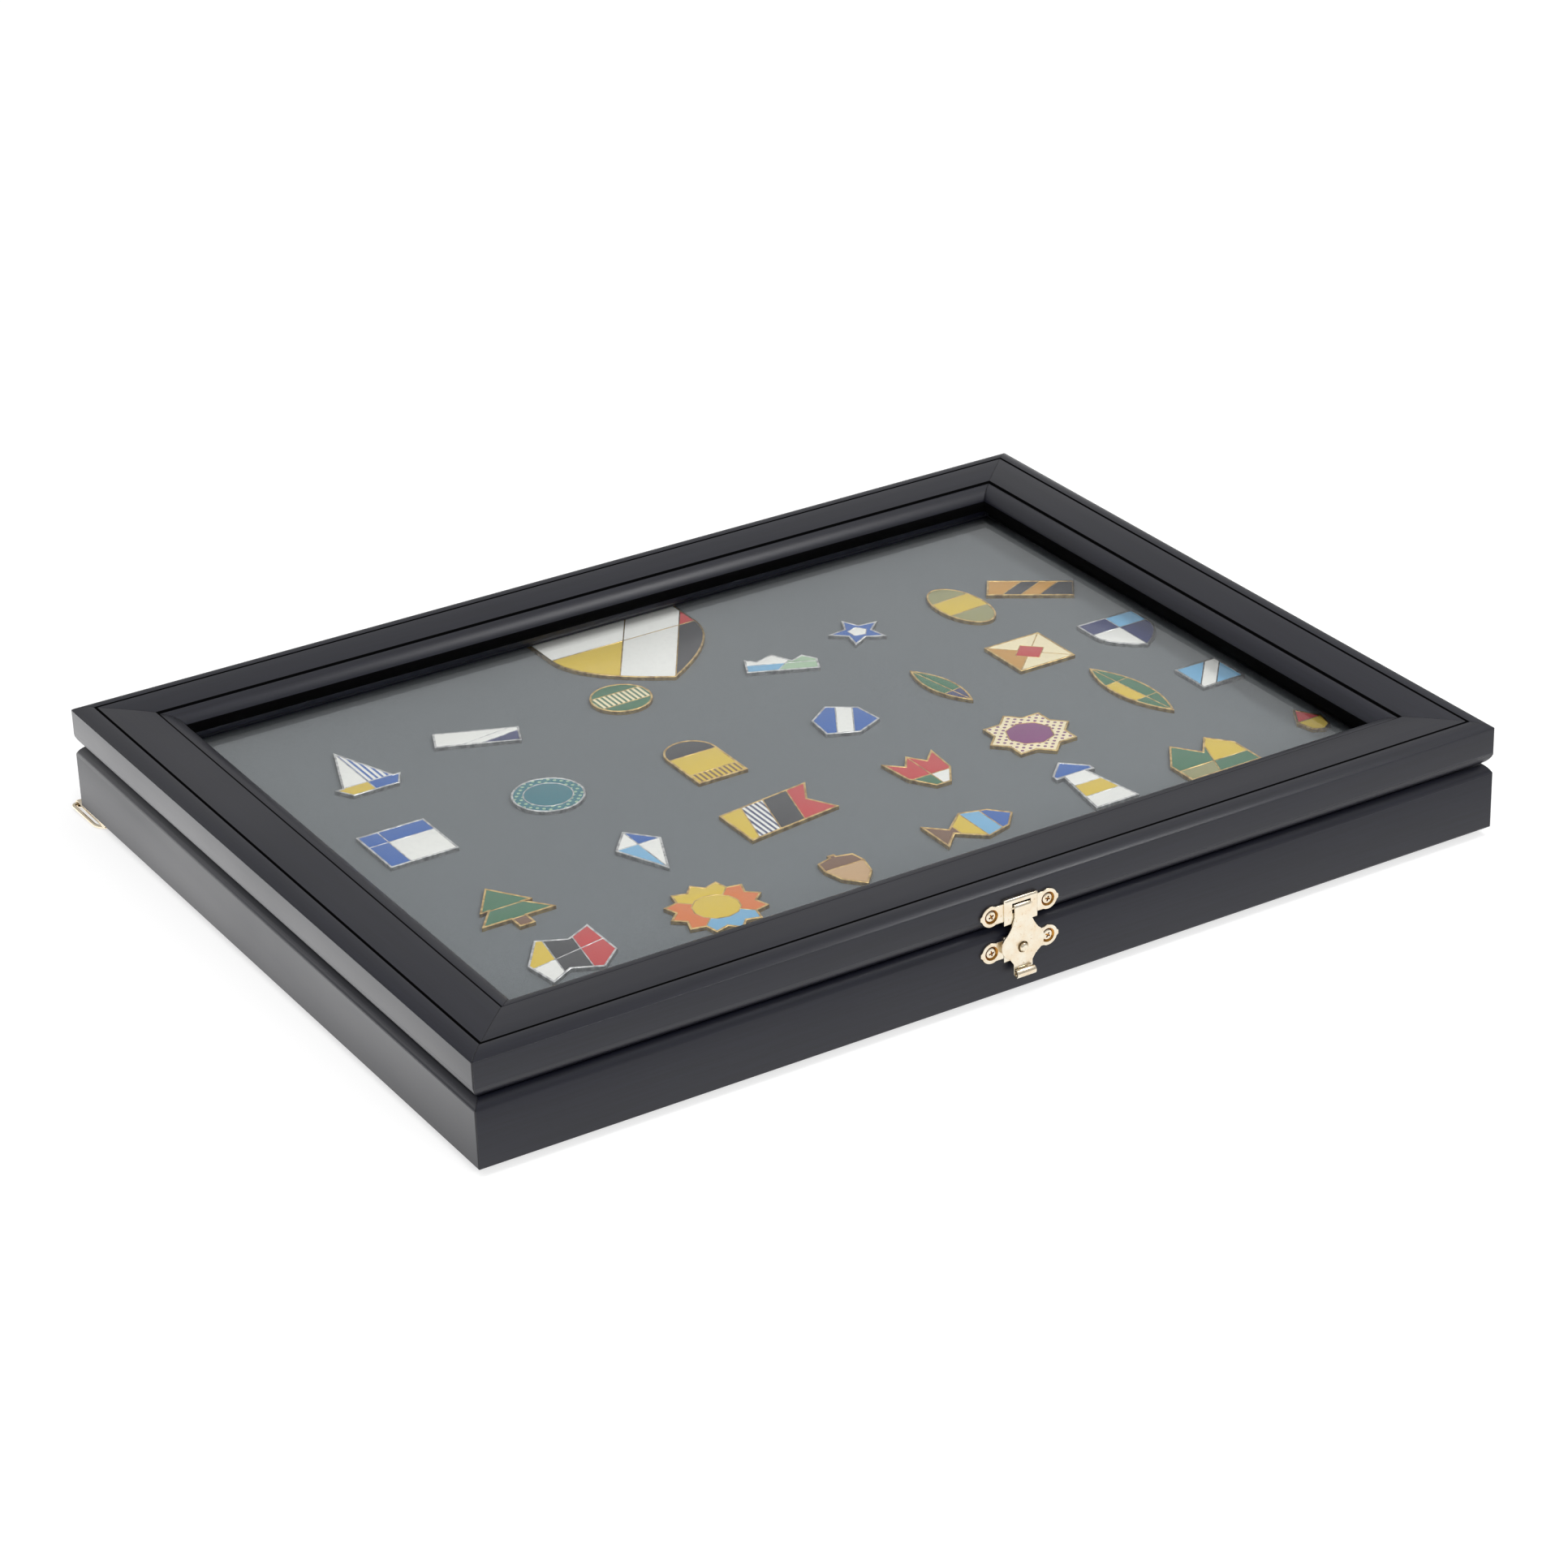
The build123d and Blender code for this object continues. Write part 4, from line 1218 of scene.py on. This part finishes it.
@dataclass
class Hinges:
    """Two butt hinges with their rods and eight sunk screws."""

    x: float = 110 * MM
    screw_x: float = 8.2 * MM
    y: float = 148 * MM
    z: float = 27.5 * MM
    screw_y: float = 143.3 * MM
    case_seat: float = 26.8 * MM
    lid_seat: float = 28.2 * MM
    rod_r: float = 0.75 * MM
    rod_length: float = 25 * MM
    rod_play: float = 0.3 * MM
    # inset and rise of each ring of the peened end, as shares of the rod's radius
    rod_rings: tuple[tuple[float, float], ...] = ((0.15, 0.1), (0.3, 0.08))
    rolls: tuple[float, ...] = (17.0, 46.0, 75.0, 104.0)
    edge: float = 0.1 * MM

    def build(self) -> None:
        """Dress the leaves, turn the rods and drive the screws."""
        for side in ("left", "right"):
            for body in ("case", "lid"):
                leaf = Bench.cast(f"hinge_{side}_{body}_leaf", f"{side}_hinge_{body}_leaf", self.edge)
                Bench.settle(leaf, body, "polished_brass", Brass(), angle=40)
        rods = Bench.join([self.rod(-self.x), self.rod(self.x)], "hinge_rods")
        Bench.settle(rods, "case", "polished_brass", Brass(), angle=40)
        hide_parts("hinge_pins")
        screw = CrossScrew(head_r=1.86 * MM, head_t=0.5 * MM, dome=0.06 * MM, depth=0.36 * MM)
        xs = [middle + shift for middle in (-self.x, self.x) for shift in (-self.screw_x, self.screw_x)]
        for body, z, way in (("case", self.case_seat, 1.0), ("lid", self.lid_seat, -1.0)):
            heads = [(Vector((x, self.screw_y, z)), roll) for x, roll in zip(xs, self.rolls)]
            axis = Vector((0.0, 0.0, way))
            screw.drive(f"hinge_screws_{body}", f"hinge_cross_screws_{body}", body, axis, heads)

    def rod(self, x: float) -> Piece:
        """Turn one hinge rod with peened ends.

        Args:
            x: Where its middle is.

        Returns:
            The rod.
        """
        sizes = {"vertices": 24, "radius": self.rod_r, "depth": self.rod_length - self.rod_play}
        place = {"location": (x, self.y, self.z), "rotation": (0, radians(90), 0)}
        rod = Bench.start("rod", "cylinder", **sizes, **place)
        for way in (-1, 1):
            with Bench.editing(rod, lambda face, way=way: face.normal.x * way > LEVEL):
                for inset, rise in self.rod_rings:
                    bpy.ops.mesh.inset(thickness=inset * self.rod_r)
                    Bench.shift(x=way * rise * self.rod_r)
        return rod


@dataclass
class Hangers:
    """Two folded straps under the back corners, each with its wire ring and screw."""

    x: float = 195 * MM
    screw_y: float = 141 * MM
    strap_low: float = 1.74 * MM
    loop_y: float = 155.2 * MM
    loop_z: float = 1.65 * MM
    droop: float = 2.3
    wire_r: float = 0.7 * MM
    bar_half: float = 6.2 * MM
    end_half: float = 5.6 * MM
    ring_length: float = 21.5 * MM
    bar_bend: float = 1.3 * MM
    end_bend: float = 4.5 * MM
    wire_gap: float = 0.03 * MM
    edge: float = 0.1 * MM
    rolls: tuple[float, float] = (13.5, 52.5)

    def build(self) -> None:
        """Dress the straps, bend the rings and drive the screws."""
        flat_ring = self.bend_ring()
        hang = Matrix.Rotation(radians(self.droop), 4, "X")
        heads = []
        for side, x, roll in zip(("left", "right"), (-self.x, self.x), self.rolls):
            strap = Bench.cast(f"hanger_strap_{side}", f"{side}_strap", self.edge)
            Bench.settle(strap, "case", "polished_brass", Brass(), angle=40)
            place = Matrix.Translation((x, self.loop_y, self.loop_z))
            ring = Bench.copy(flat_ring, f"{side}_wire_ring", place @ hang)
            Bench.settle(ring, f"ring_{side}", "polished_brass", Brass(), angle=50)
            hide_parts(f"hanger_ring_{side}")
            heads.append((Vector((x, self.screw_y, self.strap_low)), roll))
        bpy.data.objects.remove(flat_ring)
        screw = CrossScrew(head_r=2.2 * MM, head_t=0.8 * MM, dome=0.5 * MM, depth=0.5 * MM)
        screw.drive("hanger_screws", "hanger_cross_screws", "case", Vector((0.0, 0.0, -1.0)), heads)

    def bend_ring(self) -> Piece:
        """Bend a round wire into the ring, flat, with the middle of its bar at the origin.

        Returns:
            The ring, still riding on nothing.
        """
        sizes = {"vertices": 12, "radius": self.wire_r, "fill_type": "NGON"}
        ring = Bench.start("ring", "circle", rotation=(0, radians(90), 0), **sizes)
        corner = self.bar_half - self.bar_bend
        side = self.ring_length - self.bar_bend - self.end_bend
        lean = self.bar_half - self.end_half
        with Bench.editing(ring):
            Bench.pull(x=corner)
            self.spin(corner, -self.bar_bend)
            Bench.pull(x=-lean, y=-side)
            self.spin(self.end_half - self.end_bend, self.end_bend - self.ring_length)
            Bench.pull(x=2 * (self.end_bend - self.end_half))
            self.spin(self.end_bend - self.end_half, self.end_bend - self.ring_length)
            Bench.pull(x=-lean, y=side)
            self.spin(-corner, -self.bar_bend)
            Bench.pull(x=corner - self.wire_gap)
        Bench.tidy(ring)
        return ring

    def spin(self, x: float, y: float) -> None:
        """Bend the wire a quarter turn to the right about a centre."""
        bpy.ops.mesh.spin(steps=7, angle=radians(90), center=(x, y, 0.0), axis=(0.0, 0.0, 1.0))


@dataclass
class Feet:
    """Four rubber bumpers."""

    x: float = 194 * MM
    ys: tuple[float, float] = (-134 * MM, 108 * MM)
    top_r: float = 3 * MM
    foot_r: float = 2.5 * MM
    height: float = 3 * MM
    edge: float = 0.4 * MM
    rim: float = 0.7 * MM
    slope: float = 0.3 * MM
    dent: float = 0.5 * MM

    def build(self) -> None:
        """Mould one bumper and stick four of them on."""
        sizes = {"vertices": 32, "radius1": self.foot_r, "radius2": self.top_r, "depth": self.height}
        bumper = Bench.start("bumper", "cone", location=(0, 0, self.height / 2), **sizes)
        with Bench.editing(bumper, faces_down):
            bpy.ops.mesh.bevel(offset=self.edge, segments=3, affect="EDGES")
        with Bench.editing(bumper, faces_down):
            bpy.ops.mesh.inset(thickness=self.rim)
            bpy.ops.mesh.inset(thickness=self.slope)
            Bench.shift(z=self.dent)
        places = [Matrix.Translation((x, y, 0.0)) for x in (-self.x, self.x) for y in self.ys]
        stuck = [Bench.copy(bumper, f"bumper_{index}", place) for index, place in enumerate(places)]
        bpy.data.objects.remove(bumper)
        feet = Bench.join(stuck, "rubber_feet")
        Bench.settle(feet, "case", "black_rubber", Rubber(), angle=35)
        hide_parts("bumpers")


# ---------------------------------------------------------------- pins
def striped(tint: Tint, accent: Tint) -> Enamel:
    """Enamel with stripes."""
    return Enamel(tint, accent, Pattern.STRIPES)


def dotted(tint: Tint, accent: Tint) -> Enamel:
    """Enamel with rows of dots."""
    return Enamel(tint, accent, Pattern.DOTS)


def wavy(tint: Tint, accent: Tint) -> Enamel:
    """Enamel with wavy lines."""
    return Enamel(tint, accent, Pattern.WAVES)


@dataclass
class Badge:
    """An enamel pin: plated metal with enamel in its cells, listed row by row from the top left.

    A cell that is given as a tint has plain enamel, and the list starts again where it ends.
    """

    name: str
    metal: Metal
    turn: float
    cells: tuple[Tint | Enamel, ...]
    floor_z: ClassVar[float] = 26.15 * MM
    floor_play: ClassVar[float] = 0.01 * MM  # how far a face may be off and still be a cell's floor
    fill: ClassVar[float] = 0.28 * MM
    shore: ClassVar[float] = 0.35 * MM
    swell: ClassVar[float] = 0.07 * MM
    edge: ClassVar[float] = 0.09 * MM
    row: ClassVar[float] = 3 * MM  # cells whose middles round to the same multiple are in one row

    def build(self) -> None:
        """Dress the metal and fill its cells."""
        metal = Bench.cast(f"pin_{self.name}", f"{self.name}_metal", self.edge, 1)
        Bench.settle(metal, "case", f"{self.metal.name.lower()}_pin_metal", Plating(self.metal))
        self.pour()

    def pour(self) -> None:
        """Fill the cells with enamel that swells a little off their walls."""
        node = frame["nodes"][f"pin_{self.name}"]
        enamel = bpy.data.objects.new(f"{self.name}_enamel", node.data.copy())
        bpy.context.scene.collection.objects.link(enamel)
        with Bench.editing(enamel, lambda face: not self.is_floor(face)):
            bpy.ops.mesh.delete(type="FACE")
        with Bench.editing(enamel):
            bpy.ops.mesh.remove_doubles(threshold=MERGE)
            bpy.ops.mesh.dissolve_limited(angle_limit=SAME_PLANE)
            Bench.pull(z=self.fill)
        top = self.floor_z + self.fill / 2
        with Bench.editing(enamel, lambda face: faces_up(face) and face.center.z > top):
            bpy.ops.mesh.inset(thickness=self.shore)
            Bench.shift(z=self.swell)
        Bench.tidy(enamel)
        finishes = [cell if isinstance(cell, Enamel) else Enamel(cell) for cell in self.cells]
        kinds = list(dict.fromkeys(finishes))
        Bench.settle(enamel, "case", "", *kinds, angle=40)
        for faces, finish in zip(self.cells_of(enamel), cycle(finishes)):
            for face in faces:
                enamel.data.polygons[face].material_index = kinds.index(finish)

    def is_floor(self, face: Face) -> bool:
        """Tell whether a face of the metal is the floor of a cell."""
        return abs(face.center.z - self.floor_z) <= self.floor_play and faces_up(face)

    def cells_of(self, enamel: Piece) -> list[list[int]]:
        """Part the enamel into its cells.

        Args:
            enamel: The poured enamel.

        Returns:
            The faces of each cell, row by row from the top left as the pin is turned.
        """
        mesh = enamel.data
        leader = list(range(len(mesh.vertices)))

        def root(corner: int) -> int:
            """Find the corner that stands for a cell."""
            while leader[corner] != corner:
                corner = leader[corner]
            return corner

        for face in mesh.polygons:
            first = root(face.vertices[0])
            for corner in face.vertices[1:]:
                leader[root(corner)] = first
        cells: dict[int, list[int]] = {}
        for face in mesh.polygons:
            cells.setdefault(root(face.vertices[0]), []).append(face.index)
        straighten = Matrix.Rotation(radians(-self.turn), 3, "Z")
        places = {}
        for key, indices in cells.items():
            faces = [mesh.polygons[index] for index in indices]
            moment = sum((face.center * face.area for face in faces), Vector())
            places[key] = straighten @ (moment / sum(face.area for face in faces))
        order = sorted(cells, key=lambda key: (-round(places[key].y / self.row), places[key].x))
        return [cells[key] for key in order]


@dataclass
class Display:
    """All the pins on the board."""

    def build(self) -> None:
        """Make every pin."""
        for badge in self.badges():
            badge.build()

    def badges(self) -> tuple[Badge, ...]:
        """List the pins with their plating and enamel.

        Returns:
            The pins, back row first.
        """
        gilt, silver = Metal.GILT, Metal.SILVER
        t = Tint
        return (
            Badge("great_shield", gilt, 0, (t.WHITE, t.WHITE, t.RED, t.YELLOW, t.BLACK)),
            Badge("sailboat", silver, 0, (t.WHITE, striped(t.WHITE, t.BLUE), t.YELLOW, t.BLUE)),
            Badge("wave_bar", silver, -23, (t.WHITE, t.WHITE, t.NAVY, wavy(t.WHITE, t.NAVY))),
            Badge("banded_disc", gilt, 0, (t.GREEN, striped(t.CREAM, t.GREEN), t.GREEN)),
            Badge("hills", silver, -25, (t.WHITE, t.SAGE, t.SKY, t.SAGE)),
            Badge("star", silver, 0, (t.BLUE, t.WHITE)),
            Badge("oval", gilt, 4, (t.OLIVE, t.YELLOW, t.OLIVE)),
            Badge("chevron_bar", gilt, -35, (t.AMBER, t.BLACK, t.AMBER, t.BLACK)),
            Badge("quarters", silver, 0, (t.BLUE, t.BLUE, t.BLUE, t.WHITE)),
            Badge("teal_disc", silver, 0, (t.TEAL, dotted(t.TEAL, t.SAGE))),
            Badge("lantern", gilt, 0, (t.BLACK, t.YELLOW, striped(t.YELLOW, t.BROWN))),
            Badge("hexagon", silver, 0, (t.BLUE, t.WHITE, t.BLUE)),
            Badge("feather", gilt, 9, (t.GREEN, t.GREEN, t.NAVY, t.NAVY)),
            Badge("lozenge", gilt, 0, (t.CREAM, t.AMBER, t.RED, t.CREAM)),
            Badge("small_shield", silver, 0, (t.NAVY, t.SKY, t.WHITE, t.NAVY)),
            Badge("fir_tree", gilt, 0, (t.GREEN, t.GREEN, t.BROWN)),
            Badge("kite", silver, 0, (t.WHITE, t.BLUE, t.SKY, t.WHITE)),
            Badge("banner", gilt, 0, (t.BLACK, t.RED, t.YELLOW, striped(t.WHITE, t.NAVY))),
            Badge("tulip", gilt, 0, (t.RED, t.RED, t.GREEN, t.WHITE)),
            Badge("rosette", gilt, 0, (t.PURPLE, dotted(t.CREAM, t.PURPLE))),
            Badge("long_leaf", gilt, 6, (t.GREEN, t.GREEN, t.YELLOW, t.GREEN)),
            Badge("slanted_tile", silver, 0, (t.SKY, t.WHITE, t.SKY)),
            Badge("harlequin", silver, 0, (t.BLACK, t.RED, t.YELLOW, t.WHITE)),
            Badge("sun", gilt, 0, (t.YELLOW, t.ORANGE, t.YELLOW, t.ORANGE, t.SKY)),
            Badge("acorn", gilt, 0, (t.BROWN, t.TAN)),
            Badge("fish", gilt, 0, (t.BROWN, t.YELLOW, t.SKY, t.BLUE)),
            Badge("lighthouse", silver, 0, (t.BLUE, t.WHITE, t.YELLOW, t.WHITE)),
            Badge("two_peaks", gilt, 0, (t.YELLOW, t.GREEN, t.OLIVE, t.GREEN)),
            Badge("drop", gilt, 0, (t.RED, t.YELLOW)),
        )


def main() -> None:
    """Build the studio and every part of the case, and note the sizes."""
    logging.basicConfig(level=logging.INFO, format="%(message)s")
    Studio().build()
    for assembly in (Woodwork(), Board(), Glazing(), Latch(), Hinges(), Hangers(), Feet(), Display()):
        log.info("%s", type(assembly).__doc__)
        assembly.build()


if __name__ == "__main__":
    main()
